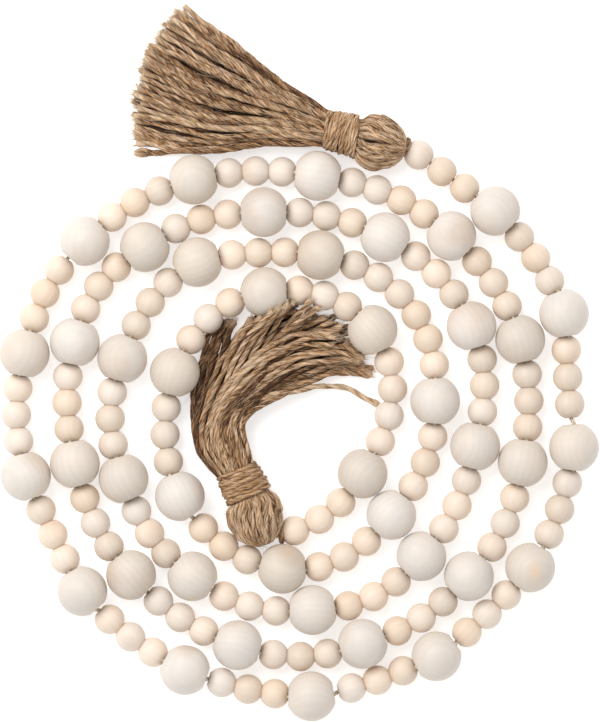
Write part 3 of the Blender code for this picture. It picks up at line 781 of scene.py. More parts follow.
def laid_strands(tassel, chance):
    """The strands of a tassel from the last ring of its head on: rows of where each stands across that ring and
    how high, its path, its half width along it, and how much lighter it is than usual along it.

    A lock's strands fall as a power of the way along and lie level on their layer from LEVEL_FROM to the tip.
    Strands darkened with painted shade lie low between the locks, and so do those in under. The ones over the others
    rise or fall evenly between their heights and carry painted light. How much lighter a strand is, is partly its own
    tone and partly painted light and shade. The painted shade darkens the locks most near the middle of the way.
    """
    way = head_way(tassel.head)
    face = tassel.head[-1]
    cuts = random.Random(SEED)
    along = np.linspace(0.0, 1.0, STRAND_RINGS)
    steps = np.array(tassel.steps)
    apart = np.interp(along, steps[:, 0], steps[:, 2])
    usual = np.interp(along, steps[:, 0], steps[:, 1])
    tips = TIPS_LIGHTER * np.clip((along - 0.6) / 0.35, 0.0, 1.0)
    shade = tassel.shade * np.interp(along, [0.0, 0.2, 0.45, 0.6, 0.8], [0.2, 0.6, 1.0, 1.0, 0.0])
    files = [lock for lock in tassel.locks if lock.strands > 1]
    between = []
    for near, far in zip(files, files[1:]):
        lock = Lock(*(np.add(near, far) / 2))
        # The strands between locks are darkened with painted shade.
        darker = BETWEEN_DARKER if abs(lock.across) < INNER_ACROSS else OUTER_BETWEEN_DARKER
        between.append(lock._replace(strands=BETWEEN_STRANDS, low=1.0, lighter=-darker))
    between = between[tassel.open_locks :] + tassel.under

    def from_head(row):
        """The path of a lock or strand from the last ring of the head, past its by point to its tip."""
        root = np.array([face.x, face.y]) + row.across * left_of(way)
        return Path(curve_through([root, (row.by_x, row.by_y), (row.tip_x, row.tip_y)], first=way))

    rows = []
    for lock in tassel.locks + between:
        path = from_head(lock)
        extra = lock in between
        stacks = min(BETWEEN_STRANDS if extra else tassel.stacks, lock.strands)
        for index in range(lock.strands):
            length = path.length + (chance if extra else cuts).uniform(SHORTEST_CUT, LONGEST_CUT)
            side = index % stacks - (stacks - 1) / 2
            places = path.at(along * length)
            places = places + (side * apart)[:, None] * left_of(path.heading(along * length))
            fall = np.minimum(1.0, along / LEVEL_FROM) ** FALL_POWER
            low = (lock.low + index * ROOT_RISE) * (1 - fall) + index // stacks * LAYER_RISE * fall
            half = usual / 2 * chance.uniform(0.96, 1.12)
            under = 1 - (index + 1) / lock.strands
            inner = LOWER_DARKER if abs(lock.across) < INNER_ACROSS else 0.0
            lighter = lock.lighter - inner * under * np.interp(along, [0.65, 0.92], [1.0, 0.1]) + tips
            if not extra and abs(lock.across) < SHADED_ACROSS:
                lighter = lighter - shade
            if lock.strands == 1 and tassel.name == "first":
                tuft = (along - 1) * length / TUFT_LENGTH + 1
                half = half * np.interp(tuft, [-0.6, 0.0, 0.5, 0.8, 1.0], [1.0, 1.15, TUFT_WIDER, TUFT_WIDER, 1.1])
                lighter = lighter + TUFT_LIGHTER * np.clip(tuft, 0.0, 1.0)
            root_high = lock.low + index * ROOT_RISE + 1.0
            rows.append((lock.across, root_high, flat_to_solid(places, low + half * FLAT), half, lighter))
    for row in tassel.over:
        path = from_head(row)
        middle = path.reach[ROUTE_STEPS] / path.length
        high = np.interp(along, [0.0, middle, 1.0], [row.root_high, row.by_high, row.tip_high])
        line = flat_to_solid(path.at(along * path.length), high)
        # Painted light: strands over the others are lighter all along.
        lighter = tips + OVER_LIGHTER + OVER_UNSHADED * shade
        rows.append((row.across, row.root_high, line, usual / 2 * OVER_THINNER, lighter))
    return rows


def skirt_lines(tassel, chance):
    """Centre lines, radii and tones of a tassel's strands, from inside the binding to their cut ends.

    Within the head a strand keeps its place in the oval section: across and up shrink with the ring. The whole
    line is then smoothed, swings a little to either side, and is kept over the floor and clear of the beads.
    """
    face = tassel.head[-1]
    away, read = ring_reader(tassel.head)
    inner = np.linspace(away[NECK_TO] - SLEEVE_HIDDEN, 0.0, SLEEVE_RINGS, endpoint=False)
    sections = read(inner)
    middle, tall = oval(sections)
    axis = unit(np.gradient(sections[:, :2], axis=0))
    axis[inner < away[NECK_TO]] = unit(np.subtract(tassel.head[NECK_TO][:2], tassel.head[NECK_FROM][:2]))
    lines, radii, tones = [], [], []
    for across, high, outer, half, lighter in laid_strands(tassel, chance):
        rise = (high - (face.low + face.high) / 2) / ((face.high - face.low) / 2)
        places = sections[:, :2] + (across / face.half_wide * sections[:, 2])[:, None] * left_of(axis)
        lines.append(np.vstack([flat_to_solid(places, middle + rise * tall), outer]))
        radii.append(np.concatenate([np.full(SLEEVE_RINGS, SLEEVE_RADIUS), half]))
        tones.append(np.concatenate([np.full(SLEEVE_RINGS, lighter[0]), lighter]))
    lines = smoothed(np.array(lines), LINE_PASSES)
    radii = smoothed(np.array(radii)[..., None], WIDTH_PASSES)[..., 0]
    count, rings = radii.shape
    fade = np.clip(np.linspace(-0.25, 1.4, rings), 0.0, 1.0)
    side, _ = sides_of(unit(np.gradient(lines, axis=1)))
    lines = lines + (fade * wander(count, rings, SWING_LENGTH, tassel.swing, SIDE_WAVE, chance))[..., None] * side
    lines[..., 2] += fade * wander(count, rings, SWING_LENGTH, *STRAND_RISES, chance)
    low = radii * FLAT + FLOOR_GAP
    lines[..., 2] = np.maximum(lines[..., 2], low)
    return clear_of_beads(lines, radii * CLEAR_THICKER, low), radii, np.array(tones)


def skirt(tassel, yarn_scale, chance):
    """The plied strands of a tassel, with blunt ends that open a little where they are cut."""
    lines, radii, tones = skirt_lines(tassel, chance)
    count, rings = radii.shape
    radii = radii * yarn_scale
    along = distances_along(lines)
    from_cut = along[:, -1:] - along
    # A strand opens over its last OPEN_LENGTH and is cut square. Elsewhere its thickness only wavers.
    open_end = np.clip(1 - from_cut / OPEN_LENGTH, 0.0, 1.0)
    radii = radii * (1 + OPEN_WIDER * open_end) * np.where(from_cut < 0.2, 0.8, 1.0)
    radii = radii * (1 + wander(count, rings, SWING_LENGTH, *STRAND_WAVERS, chance))
    pitch = chance.uniform(*STRAND_TWIST, (count, 1))
    turns = 2 * math.pi * along / pitch + chance.uniform(0, 2 * math.pi, (count, 1))
    tone = np.clip(chance.normal(STRAND_TONE, TONE_SPREAD, (count, 1)) + tones, 0.0, 1.0)
    cut = open_end * chance.uniform(0.4, 1.0, (count, 1))
    # Each strand takes its streaks from another stretch of yarn.
    start = np.arange(count) * 137.0
    return tubes(lines, UP, radii, turns, YARN_SIDES, plies=2, flat=FLAT, tone=tone, cut=cut, start=start)


def head_lines(tassel, count, depth, chance):
    """Centre lines of the folded yarns over a tassel's head, from inside the binding to the hole at its tip.

    Each keeps near one angle a of the oval section, with a swinging a little:
    centre + cos a * (width - depth) * left + sin a * (height - depth) * up. At a parting a moves away from the
    parting's own angle by up to PARTED. Past the tip the yarn turns in towards the string and back into the head.
    """
    away, read = ring_reader(tassel.head)
    outer = np.linspace(away[NECK_FROM] + FOLD_HIDDEN, away[0], FOLD_RINGS)
    sections = read(outer)
    tip = sections[-1].copy()
    ahead = unit(sections[-1, :2] - sections[-4, :2])
    turned_in = []
    for on, wide, tall in TURNED_IN:
        ring = tip.copy()
        ring[:2] += on * ahead
        ring[2:] = wide + depth, TIP_HEIGHT - tall - depth, TIP_HEIGHT + tall + depth
        turned_in.append(ring)
    sections = np.vstack([sections, turned_in])
    axis = unit(np.gradient(sections[:, :2], axis=0))
    axis[-len(TURNED_IN) :] = ahead
    rings = len(sections)
    fade = np.sin(np.linspace(0.0, math.pi, rings)) ** 0.5
    own = (np.arange(count) / count * 2 * math.pi + chance.uniform(-0.06, 0.06, count))[:, None]
    angle = own + fade * wander(count, rings, FOLD_LENGTH, *FOLD_TURNS, chance)
    share = np.linspace(0.0, 1.0, rings)
    for parting in tassel.partings:
        off = np.mod(own - parting.angle + math.pi, 2 * math.pi) - math.pi
        there = np.sin(np.clip((share - parting.start) / (parting.end - parting.start), 0.0, 1.0) * math.pi)
        angle = angle + PARTED * there * np.sign(off) * np.exp(-((off / PARTING_REACH) ** 2))
    off = fade * wander(count, rings, FOLD_LENGTH, *FOLD_RISES, chance)
    middle, tall = oval(sections)
    aside = np.cos(angle) * (sections[:, 2] - depth + off)
    left = left_of(axis)
    out = np.stack([aside * left[:, 0], aside * left[:, 1], np.sin(angle) * (tall - depth + off)], axis=-1)
    lines = smoothed(flat_to_solid(sections[:, :2], middle) + out, 3)
    return lines, unit(out)


def folded_head(tassel, yarn_scale, chance):
    """The yarns folded over a tassel's head in two layers, over a dark middle."""
    surfaces = []
    for count, depth, size, tone in FOLDS:
        lines, up = head_lines(tassel, count, depth, chance)
        rings = lines.shape[1]
        # The yarns are thickest half way and thin where they turn in at the tip.
        shape = np.interp(np.linspace(0, 1, rings), [0.0, 0.2, 0.55, 0.8, 0.93, 1.0], [0.75, 1.0, 1.2, 1.0, 0.75, 0.5])
        radii = size * yarn_scale * shape * chance.uniform(0.85, 1.15, (count, 1))
        along = np.linspace(0.0, FOLD_TWISTED, rings)
        pitch = chance.uniform(*FOLD_TWIST, (count, 1))
        turns = 2 * math.pi * along / pitch + chance.uniform(0, 6.28, (count, 1))
        # The deeper layer's lower tone is painted shade.
        tones = np.clip(chance.normal(tone, FOLD_SPREAD, count), 0.0, 1.0)
        lines = clear_of_beads(lines, radii, radii)
        start = np.arange(count) * 91.0 + 7000
        surfaces.append(tubes(lines, up, radii, turns, YARN_SIDES, plies=2, tone=tones, start=start))
    surfaces.append(collar(tassel))
    return joined(surfaces)


def collar(tassel):
    """Two turns of yarn round the string where it leaves the head, against the first bead. Both ends are underneath.

    At angle a it stands at middle + COLLAR_RADIUS * (cos a * left + sin a * up), in a plane across the string.
    """
    middle = np.array(tassel.leaves[:2])
    ahead = unit(tassel.leaves[2:])
    angle = np.linspace(-0.5, 3.5, 72) * math.pi
    drift = np.linspace(-0.9, 0.3, len(angle))
    places = middle + COLLAR_RADIUS * np.cos(angle)[:, None] * left_of(ahead) + drift[:, None] * ahead
    line = flat_to_solid(places, COLLAR_HEIGHT + COLLAR_RADIUS * np.sin(angle))
    out = np.column_stack([np.cos(angle)[:, None] * left_of(ahead), np.sin(angle)])
    radii = np.full((1, len(angle)), COLLAR_YARN)
    turns = np.linspace(0.0, 9.0, len(angle))[None]
    line = clear_of_beads(line[None], radii, radii)
    return tubes(line, out[None], radii, turns, YARN_SIDES, plies=2, tone=0.42, start=5000.0)


def core(tassel):
    """The dark middle of a head and of the place where its strands fan out: the rings of the head, CORE_DEPTH in."""
    # The dark middle is painted shade that shows between the yarns of the head.
    away, read = ring_reader(tassel.head)
    sections = read(np.linspace(away[0], -CORE_SHORT, CORE_RINGS))
    middle, tall = oval(sections)
    wide = np.maximum(sections[:, 2] - CORE_DEPTH, CORE_LEAST)
    tall = np.maximum(tall - CORE_DEPTH, CORE_LEAST)
    line = flat_to_solid(sections[:, :2], middle)[None]
    surface = tubes(line, UP, wide[None], np.zeros((1, CORE_RINGS)), CORE_SIDES, tone=CORE_SHADE_TONE)
    middle = np.repeat(middle, CORE_SIDES)
    body = slice(0, CORE_RINGS * CORE_SIDES)
    surface.points[body, 2] = middle + (surface.points[body, 2] - middle) * np.repeat(tall / wide, CORE_SIDES)
    # The whole core takes the full painted shade of a groove.
    surface.fields["look"][:, 1] = 0.0
    return surface


def binding_line(tassel, turns, outset, first, last, slant, chance):
    """The centre line of yarn wound round a neck, and the way out from the neck's axis along it.

    At angle a the yarn stands on the neck's oval, outset mm out, and moves along the neck evenly with a.
    The slant leans each turn: along the neck it adds slant, give or take a little, times how far across the yarn is.
    """
    start, end = np.array(tassel.head[NECK_FROM]), np.array(tassel.head[NECK_TO])
    axis = unit(end[:2] - start[:2])
    reach = float(np.linalg.norm(end[:2] - start[:2]))
    length = turns * WOUND_TURN
    angle = np.linspace(0.0, turns * 2 * math.pi, int(length / WOUND_STEP)) - math.pi / 2
    share = first + (last - first) * np.linspace(0.0, 1.0, len(angle))
    share = share + WOUND_STRAYS / reach * wander(1, len(angle), length, 1.0, STRAY_WAVE, chance)[0]
    ring = start + (end - start) * share[:, None]
    out = outset + wander(1, len(angle), length, *WOUND_RISES, chance)[0]
    lean = slant + wander(1, len(angle), length, *WOUND_LEANS, chance)[0]
    middle, tall = oval(ring)
    wide = (ring[:, 2] + out) * np.cos(angle)
    tall = (tall + out) * np.sin(angle)
    places = ring[:, :2] + wide[:, None] * left_of(axis) + (lean * wide)[:, None] * axis
    line = flat_to_solid(places, middle + tall)
    up = np.column_stack([wide[:, None] * left_of(axis), tall])
    return line[None], unit(up)[None]


def binding(tassel, thickness, chance):
    """Turns of finer yarn wound side by side round a neck, and a few more that cross over them."""
    reach = math.dist(tassel.head[NECK_FROM][:2], tassel.head[NECK_TO][:2])
    radius = min(thickness / 2, reach / tassel.turns / 2)
    edge = radius / reach
    surfaces = []
    # The turns, how far out they lie, the shares of the neck where they start and end, and their slant.
    for turns, outset, first, last, slant in (
        (tassel.turns, 0.95, edge, 1 - edge, tassel.slant),
        (3, 1.25, 0.8, 0.3, -tassel.slant * 0.6),
    ):
        line, up = binding_line(tassel, turns, outset, first, last, slant, chance)
        rings = line.shape[1]
        length = rings * WOUND_STEP
        radii = radius * (WOUND_WIDER + wander(1, rings, length, *WOUND_WAVERS, chance))
        tone = tassel.wound + wander(1, rings, length, *WOUND_TONES, chance)
        twist = (2 * math.pi * (np.arange(rings) * WOUND_STEP) / WOUND_TWIST)[None]
        start = chance.uniform(0, 900)
        surfaces.append(tubes(line, up, radii, twist, YARN_SIDES, plies=2, tone=tone, start=start))
    return joined(surfaces)


def fibre_tubes(paths, thickness, spread, taper, darkest, chance):
    """Fibres along paths, kept over the floor and clear of the beads, each thinner along it as taper says."""
    count = len(paths)
    paths[..., 2] = np.maximum(paths[..., 2], FIBRE_LOW)
    paths = clear_of_beads(paths, np.full(paths.shape[:2], thickness), FIBRE_LOW)
    thin = thickness / 2 * chance.uniform(*spread, (count, 1)) * np.array(taper)
    tone = chance.uniform(darkest, 1.0, count)
    return tubes(paths, NEAR_UP, thin, np.zeros_like(thin), 3, tone=tone, start=chance.uniform(0, 900, count))


def stray_fibres(lines, radii, count, longest, thickness, chance):
    """Thin pale fibres that leave the yarns at random places.

    A fibre starts on a yarn's surface and runs length * u along it, out * u ^ 2 away from it and side * u ^ 2 aside.
    Most stay close to the yarn and a few stand off.
    """
    tube = chance.integers(0, lines.shape[0], count)
    ring = chance.integers(2, lines.shape[1] - 2, count)
    ahead = unit(lines[tube, ring + 2] - lines[tube, ring - 2])
    lean = chance.uniform(-1.35, 1.35, count)
    side, rise = sides_of(ahead)
    out = np.sin(lean)[:, None] * side + np.cos(lean)[:, None] * rise
    swing = np.cross(ahead, out)
    start = lines[tube, ring] + out * (radii[tube, ring] * 0.85)[:, None]
    length = chance.uniform(0.35, 1.0, (count, 1)) * longest * chance.choice([-1.0, 1.0], (count, 1))
    away = chance.uniform(0.0, 0.65, (count, 1)) ** 3 * np.abs(length)
    aside = chance.normal(0.0, 0.1, (count, 1)) * np.abs(length)
    u = np.linspace(0.0, 1.0, 7)[None, :, None]
    paths = start[:, None] + ahead[:, None] * length[:, None] * u + out[:, None] * away[:, None] * u**2
    paths = paths + swing[:, None] * aside[:, None] * u**2
    return fibre_tubes(paths, thickness, (0.7, 1.3), (1.0, 1.0, 0.95, 0.85, 0.7, 0.5, 0.3), 0.2, chance)


def frayed_ends(lines, radii, per_end, thickness, chance):
    """Short fibres that stand out of each strand's cut end and spread as they go.

    Each starts inside the end and runs length * u on, and spread * length * u ^ 1.5 outwards.
    """
    count = len(lines) * per_end
    tube = np.repeat(np.arange(len(lines)), per_end)
    ahead = unit(lines[tube, -1] - lines[tube, -4])
    side, rise = sides_of(ahead)
    turn = chance.uniform(0, 2 * math.pi, count)
    out = np.cos(turn)[:, None] * side + np.sin(turn)[:, None] * rise
    share = np.sqrt(chance.uniform(0, 1, (count, 1)))
    start = lines[tube, -1] - 1.2 * ahead + out * share * radii[tube, -1][:, None] * 0.9
    length = chance.uniform(1.6, 3.6, (count, 1))
    spread = chance.uniform(0.05, 0.5, (count, 1)) * share
    u = np.linspace(0.0, 1.0, 5)[None, :, None]
    paths = start[:, None] + ahead[:, None] * length[:, None] * u + out[:, None] * (spread * length)[:, None] * u**1.5
    return fibre_tubes(paths, thickness, (0.8, 1.5), (1.2, 1.2, 1.0, 0.8, 0.4), 0.4, chance)


def add_piece(name, surface, finish, nodes=()):
    """A surface in millimetres as a finished piece of the garland, with its fields as attributes of its points."""
    mesh = bpy.data.meshes.new(name)
    mesh.vertices.add(len(surface.points))
    mesh.vertices.foreach_set("co", (surface.points * MM).astype(np.float32).ravel())
    sizes = np.concatenate([np.full(len(rows), rows.shape[1]) for rows in surface.faces])
    corners = np.concatenate([rows.ravel() for rows in surface.faces]).astype(np.int32)
    mesh.loops.add(len(corners))
    mesh.loops.foreach_set("vertex_index", corners)
    mesh.polygons.add(len(sizes))
    mesh.polygons.foreach_set("loop_start", np.concatenate([[0], np.cumsum(sizes)[:-1]]).astype(np.int32))
    mesh.polygons.foreach_set("use_smooth", np.ones(len(sizes), bool))
    mesh.update(calc_edges=True)
    if mesh.validate():
        raise RuntimeError(f"{name} has faces that can't be kept")
    for field, values in surface.fields.items():
        layer = mesh.attributes.new(field, "FLOAT_VECTOR", "POINT")
        layer.data.foreach_set("vector", values.astype(np.float32).ravel())
    mesh.materials.append(finish)
    piece = bpy.data.objects.new(name, mesh)
    bpy.context.scene.collection.objects.link(piece)
    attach(piece, "root")
    if nodes:
        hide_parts(*nodes)
    return piece


def new_finish(name):
    """A new material, the function that adds nodes to it, and its Principled shader."""
    material = bpy.data.materials.new(name)
    material.use_nodes = True
    tree = material.node_tree
    return material, partial(add_node, tree), tree.nodes["Principled BSDF"]


def add_node(tree, kind, inputs=None, **settings):
    """A shader node with its settings, and its inputs as values or as (node, output) links."""
    node = tree.nodes.new("ShaderNode" + kind)
    for key, value in settings.items():
        setattr(node, key, value)
    feed(node, inputs or {})
    return node


def feed(node, inputs):
    """Sets or links the inputs of a node."""
    for key, value in inputs.items():
        if isinstance(value, tuple) and isinstance(value[0], bpy.types.Node):
            node.id_data.links.new(value[0].outputs[value[1]], node.inputs[key])
        else:
            node.inputs[key].default_value = value


def opaque(colour):
    """A linear colour with its alpha at one."""
    return (*colour, 1.0)


def wood_finish(settings):
    """Bare turned wood.

    Pale, close-grained wood is turned on a lathe, sanded and left without varnish: cream that differs from
    bead to bead, faint growth lines and short pores along the bore, and a soft sheen without highlights.
    """
    material, add, shader = new_finish("bare_turned_wood")
    place = add("Attribute", attribute_name="turned")
    tint = add("Attribute", attribute_name="tint")
    tints = add("SeparateXYZ", {"Vector": (tint, "Vector")})
    # Growth lines stand 2 to 3 mm apart: a wave repeats every 0.314 / scale metres.
    lines = add(
        "TexWave",
        {"Vector": (place, "Vector"), "Scale": 120.0, "Distortion": 5.0, "Detail": 2.0, "Detail Scale": 0.6},
        wave_type="BANDS", bands_direction="X", wave_profile="SIN",
    )
    # Fibres are about 0.05 mm across. They are drawn 0.7 mm across and 7 mm long, so that they show.
    stretched = add("Mapping", {"Vector": (place, "Vector"), "Scale": (1.0, 1.0, 0.1)})
    fibres = add("TexNoise", {"Vector": (stretched, "Vector"), "Scale": 1500.0, "Detail": 3.0, "Roughness": 0.6})
    # Cloudy changes of tone are about 9 mm across.
    clouds = add("TexNoise", {"Vector": (place, "Vector"), "Scale": 110.0, "Detail": 2.0})
    # Pores are dashes. They are drawn 0.4 mm across and 2 mm long, so that they show.
    short = add("Mapping", {"Vector": (place, "Vector"), "Scale": (1.0, 1.0, 0.2)})
    dots = add("TexNoise", {"Vector": (short, "Vector"), "Scale": 2600.0, "Detail": 1.0})
    pores = add("MapRange", {"Value": (dots, "Fac"), "From Min": 0.66, "From Max": 0.78})

    # How warm the wood is: each bead's own chance, less on large beads, and a little cloudy.
    warm = add("MapRange", {"Value": (tints, "X"), "To Min": 0.4, "To Max": 0.9})
    small = add("MapRange", {"Value": (tints, "Z"), "To Min": 1.0, "To Max": 0.3})
    share = add("Math", {0: (warm, "Result"), 1: (small, "Result")}, operation="MULTIPLY")
    cloudy = add(
        "MapRange", {"Value": (clouds, "Fac"), "From Min": 0.3, "From Max": 0.7, "To Min": -0.12, "To Max": 0.12}
    )
    total = add("Math", {0: (share, "Value"), 1: (cloudy, "Result")}, operation="ADD", use_clamp=True)
    base = add("Mix", {0: (total, "Value"), 6: opaque(settings.pale), 7: opaque(settings.warm)}, data_type="RGBA")
    mixed = add("Math", {0: (lines, "Fac"), 1: (fibres, "Fac")}, operation="MULTIPLY")
    grain = add("Math", {0: (pores, "Result"), 1: 0.35, 2: (mixed, "Value")}, operation="MULTIPLY_ADD")
    # Blushes of browner wood are 25 mm across and show on a few beads.
    spots = add("TexNoise", {"Vector": (place, "Vector"), "Scale": 40.0, "Detail": 1.0})
    blush = add("MapRange", {"Value": (spots, "Fac"), "From Min": 0.6, "From Max": 0.75, "To Max": 0.3})
    amount = add(
        "Math", {0: (grain, "Value"), 1: settings.grain, 2: (blush, "Result")}, operation="MULTIPLY_ADD", use_clamp=True
    )
    lined = add("Mix", {0: (amount, "Value"), 6: (base, "Result"), 7: opaque(settings.line)}, data_type="RGBA")
    # Beads from other boards are darker and yellower.
    board = {0: (tints, "Y"), 6: (lined, "Result"), 7: opaque(to_linear("F1ECE4"))}
    colour = add("Mix", board, data_type="RGBA", blend_type="MULTIPLY")
    knot = add("Attribute", attribute_name="knot")
    knotty = add("Math", {0: (knot, "Fac"), 1: 0.5}, operation="MULTIPLY")
    reddish = {0: (knotty, "Value"), 6: (colour, "Result"), 7: opaque(to_linear("ECBE86"))}
    colour = add("Mix", reddish, data_type="RGBA")
    rough = add(
        "MapRange", {"Value": (fibres, "Fac"), "From Min": 0.3, "From Max": 0.7, "To Min": 0.48, "To Max": 0.62}
    )
    relief = add("Bump", {"Strength": 0.25, "Distance": 0.0001, "Height": (grain, "Value")})
    feed(shader, {"Base Color": (colour, "Result"), "Roughness": (rough, "Result"), "Normal": (relief, "Normal")})
    feed(shader, {"IOR": 1.5})
    return material


def yarn_finish(name, dark, mid, light, groove_shade, streaked, sheen):
    """Spun bast fibre in plied yarn.

    Jute is spun from long coarse fibres that are left unbleached: brown streaks along the twist, paler where it is cut,
    matt but with a soft sheen of stray fibres. Painted shade darkens it between the plies, down to the given share of
    its colour at the bottom of a groove, and streaked is how strong the streaks are where the yarn is light.
    """
    material, add, shader = new_finish(name)
    place = add("Attribute", attribute_name="yarn")
    look = add("Attribute", attribute_name="look")
    looks = add("SeparateXYZ", {"Vector": (look, "Vector")})
    # A bast fibre is about 0.06 mm across. Fibres are drawn in streaks 0.9 mm across and 25 mm long, and finer
    # ones 0.4 mm across and 4 mm long, so that they show.
    long = add("Mapping", {"Vector": (place, "Vector"), "Scale": (1.0, 1.0, 0.035)})
    streaks = add("TexNoise", {"Vector": (long, "Vector"), "Scale": 1100.0, "Detail": 1.0})
    short = add("Mapping", {"Vector": (place, "Vector"), "Scale": (1.0, 1.0, 0.1), "Location": (0.3, 0.1, 0.2)})
    threads = add("TexNoise", {"Vector": (short, "Vector"), "Scale": 2500.0, "Detail": 2.0, "Roughness": 0.65})
    # Patches of darker and lighter fibre are about 8 mm long.
    patches = add("TexNoise", {"Vector": (place, "Vector"), "Scale": 130.0, "Detail": 2.0})
    # Each noise as a change of tone: where it starts from, and how far it goes either way.
    changes = []
    for noise, low, high, most in ((streaks, 0.34, 0.66, 0.2), (threads, 0.34, 0.66, 0.75), (patches, 0.3, 0.7, 0.08)):
        bounds = {"From Min": low, "From Max": high, "To Min": -most, "To Max": most}
        changes.append(add("MapRange", {"Value": (noise, "Fac"), **bounds}, clamp=False))
    streak, thread, patch = changes
    both = add("Math", {0: (streak, "Result"), 1: (thread, "Result")}, operation="ADD")
    total = add("Math", {0: (both, "Value"), 1: (patch, "Result")}, operation="ADD")
    # Streaks hardly show on strands in shade.
    strength = add(
        "MapRange", {"Value": (looks, "X"), "From Min": 0.05, "From Max": 0.45, "To Min": 0.15, "To Max": streaked}
    )
    tone = {0: (total, "Value"), 1: (strength, "Result"), 2: (looks, "X")}
    level = add("Math", tone, operation="MULTIPLY_ADD", use_clamp=True)
    ramp = add("ValToRGB", {"Fac": (level, "Value")})
    stops = ramp.color_ramp.elements
    stops[0].position, stops[0].color = 0.0, opaque(value * 0.35 for value in dark)
    stops[1].position, stops[1].color = 1.0, opaque(light)
    for position, shown in ((0.18, dark), (0.55, mid)):
        stops.new(position).color = opaque(shown)
    # Painted shade in the grooves between the plies: the colour is scaled down there.
    groove_painted_shade = add("MapRange", {"Value": (looks, "Y"), "To Min": groove_shade, "To Max": 1.0})
    shaded = add("VectorMath", {0: (ramp, "Color"), "Scale": (groove_painted_shade, "Result")}, operation="SCALE")
    ends = add("Math", {0: (looks, "Z"), 1: 0.55}, operation="MULTIPLY")
    colour = add("Mix", {0: (ends, "Value"), 6: (shaded, "Vector"), 7: opaque(light)}, data_type="RGBA")
    relief = add("Bump", {"Strength": 0.8, "Distance": 0.00025, "Height": (threads, "Fac")})
    rough = add(
        "MapRange", {"Value": (threads, "Fac"), "From Min": 0.3, "From Max": 0.7, "To Min": 0.62, "To Max": 0.9}
    )
    feed(shader, {"Base Color": (colour, "Result"), "Roughness": (rough, "Result"), "Normal": (relief, "Normal")})
    feed(shader, {"IOR": 1.5, "Specular IOR Level": 0.25, "Sheen Weight": sheen, "Sheen Roughness": 0.5})
    return material


def floor_finish(settings):
    """Matt white paper: even and bright, with a faint unevenness 40 mm across."""
    material, add, shader = new_finish("white_paper")
    place = add("TexCoord")
    clouds = add("TexNoise", {"Vector": (place, "Object"), "Scale": 25.0})
    duller = opaque(value * 0.995 for value in settings.floor)
    colour = add("Mix", {0: (clouds, "Fac"), 6: opaque(settings.floor), 7: duller}, data_type="RGBA")
    feed(shader, {"Base Color": (colour, "Result"), "Roughness": 0.9, "Specular IOR Level": 0.1})
    feed(shader, {"Emission Color": opaque((1.0, 1.0, 1.0)), "Emission Strength": settings.floor_glow})
    return material


def size(label, description, default, least, most):
    """A length property in metres, from millimetres."""
    return FloatProperty(
        name=label, description=description, default=default * MM, min=least * MM, max=most * MM,
        precision=5, unit="LENGTH", subtype="DISTANCE",
    )


def shade(label, description, hex_colour):
    """A colour property from an sRGB hex value."""
    return FloatVectorProperty(
        name=label, description=description, default=to_linear(hex_colour), size=3, min=0.0, max=1.0, subtype="COLOR"
    )


class BeadSettings(bpy.types.PropertyGroup):
    """Sizes and colours of the beads and their string."""

    large_diameter: size("Large beads", "Diameter of the large beads", LARGE_DIAMETER, 16.0, 25.0)
    small_diameter: size("Small beads", "Diameter of the small beads", SMALL_DIAMETER, 9.0, 15.0)
    string_diameter: size("String", "Diameter of the string", STRING_DIAMETER, 1.0, 2.4)
    pale: shade("Pale wood", "Colour of the palest wood", "D8D3CE")
    warm: shade("Warm wood", "Colour of the warmest wood", "EEDBC8")
    line: shade("Grain", "Colour of growth lines and pores", "B58F68")
    grain: FloatProperty(
        name="Grain strength", description="How much the growth lines and pores show",
        default=0.1, min=0.0, max=1.0, subtype="FACTOR",
    )


class TasselSettings(bpy.types.PropertyGroup):
    """Sizes and colours of the tassels and their bindings."""

    yarn_scale: FloatProperty(
        name="Yarn", description="Thickness of the yarn against its usual thickness", default=1.1, min=0.6, max=1.3
    )
    binding_yarn: size("Binding yarn", "Diameter of the yarn wound round each neck", 1.7, 0.8, 1.9)
    fibre_thickness: size("Stray fibre", "Thickness of the stray fibres", 0.12, 0.05, 0.3)
    fibres: IntProperty(
        name="Stray fibres", description="How many stray fibres each tassel has", default=1500, min=0, max=2500
    )
    dark: shade("Dark jute", "Colour of the darkest fibres", "55341C")
    mid: shade("Jute", "Colour of most fibres", "B0865C")
    light: shade("Light jute", "Colour of the palest fibres and of cut ends", "DABFA1")


class StageSettings(bpy.types.PropertyGroup):
    """The floor and the lights."""

    floor: shade("Floor", "Colour of the floor", "E0E0E0")
    floor_glow: FloatProperty(
        name="Floor glow", description="Light that the floor gives by itself, which keeps its shadows faint",
        default=0.5, min=0.0, max=1.0,
    )
    key: FloatProperty(
        name="Main light", description="Power of the broad light at the upper left",
        default=13.75, min=0.0, unit="POWER",
    )
    around: FloatProperty(
        name="Light all round", description="Strength of the even light from all round", default=0.775, min=0.0
    )


class GARLAND_OT_beads(bpy.types.Operator):
    """Make the beads of each repeat of the garland"""

    bl_idname = "garland.beads"
    bl_label = "Beads"

    def execute(self, context):
        settings = context.scene.garland_beads
        chance = np.random.default_rng(SEED)
        finish = wood_finish(settings)
        large, small = settings.large_diameter / MM / 2, settings.small_diameter / MM / 2
        for number, beads in enumerate(fitted(string_runs())):
            surfaces = []
            for kind, radius, shape in ((True, large, LARGE_SHAPE), (False, small, SMALL_SHAPE)):
                some = [bead for bead in beads if bead.large == kind]
                if some:
                    surfaces.append(turned_balls(some, radius, *shape, chance))
            node = f"beads_{number:02d}"
            add_piece(f"turned_{node}", joined(surfaces), finish, [node])
        return {"FINISHED"}


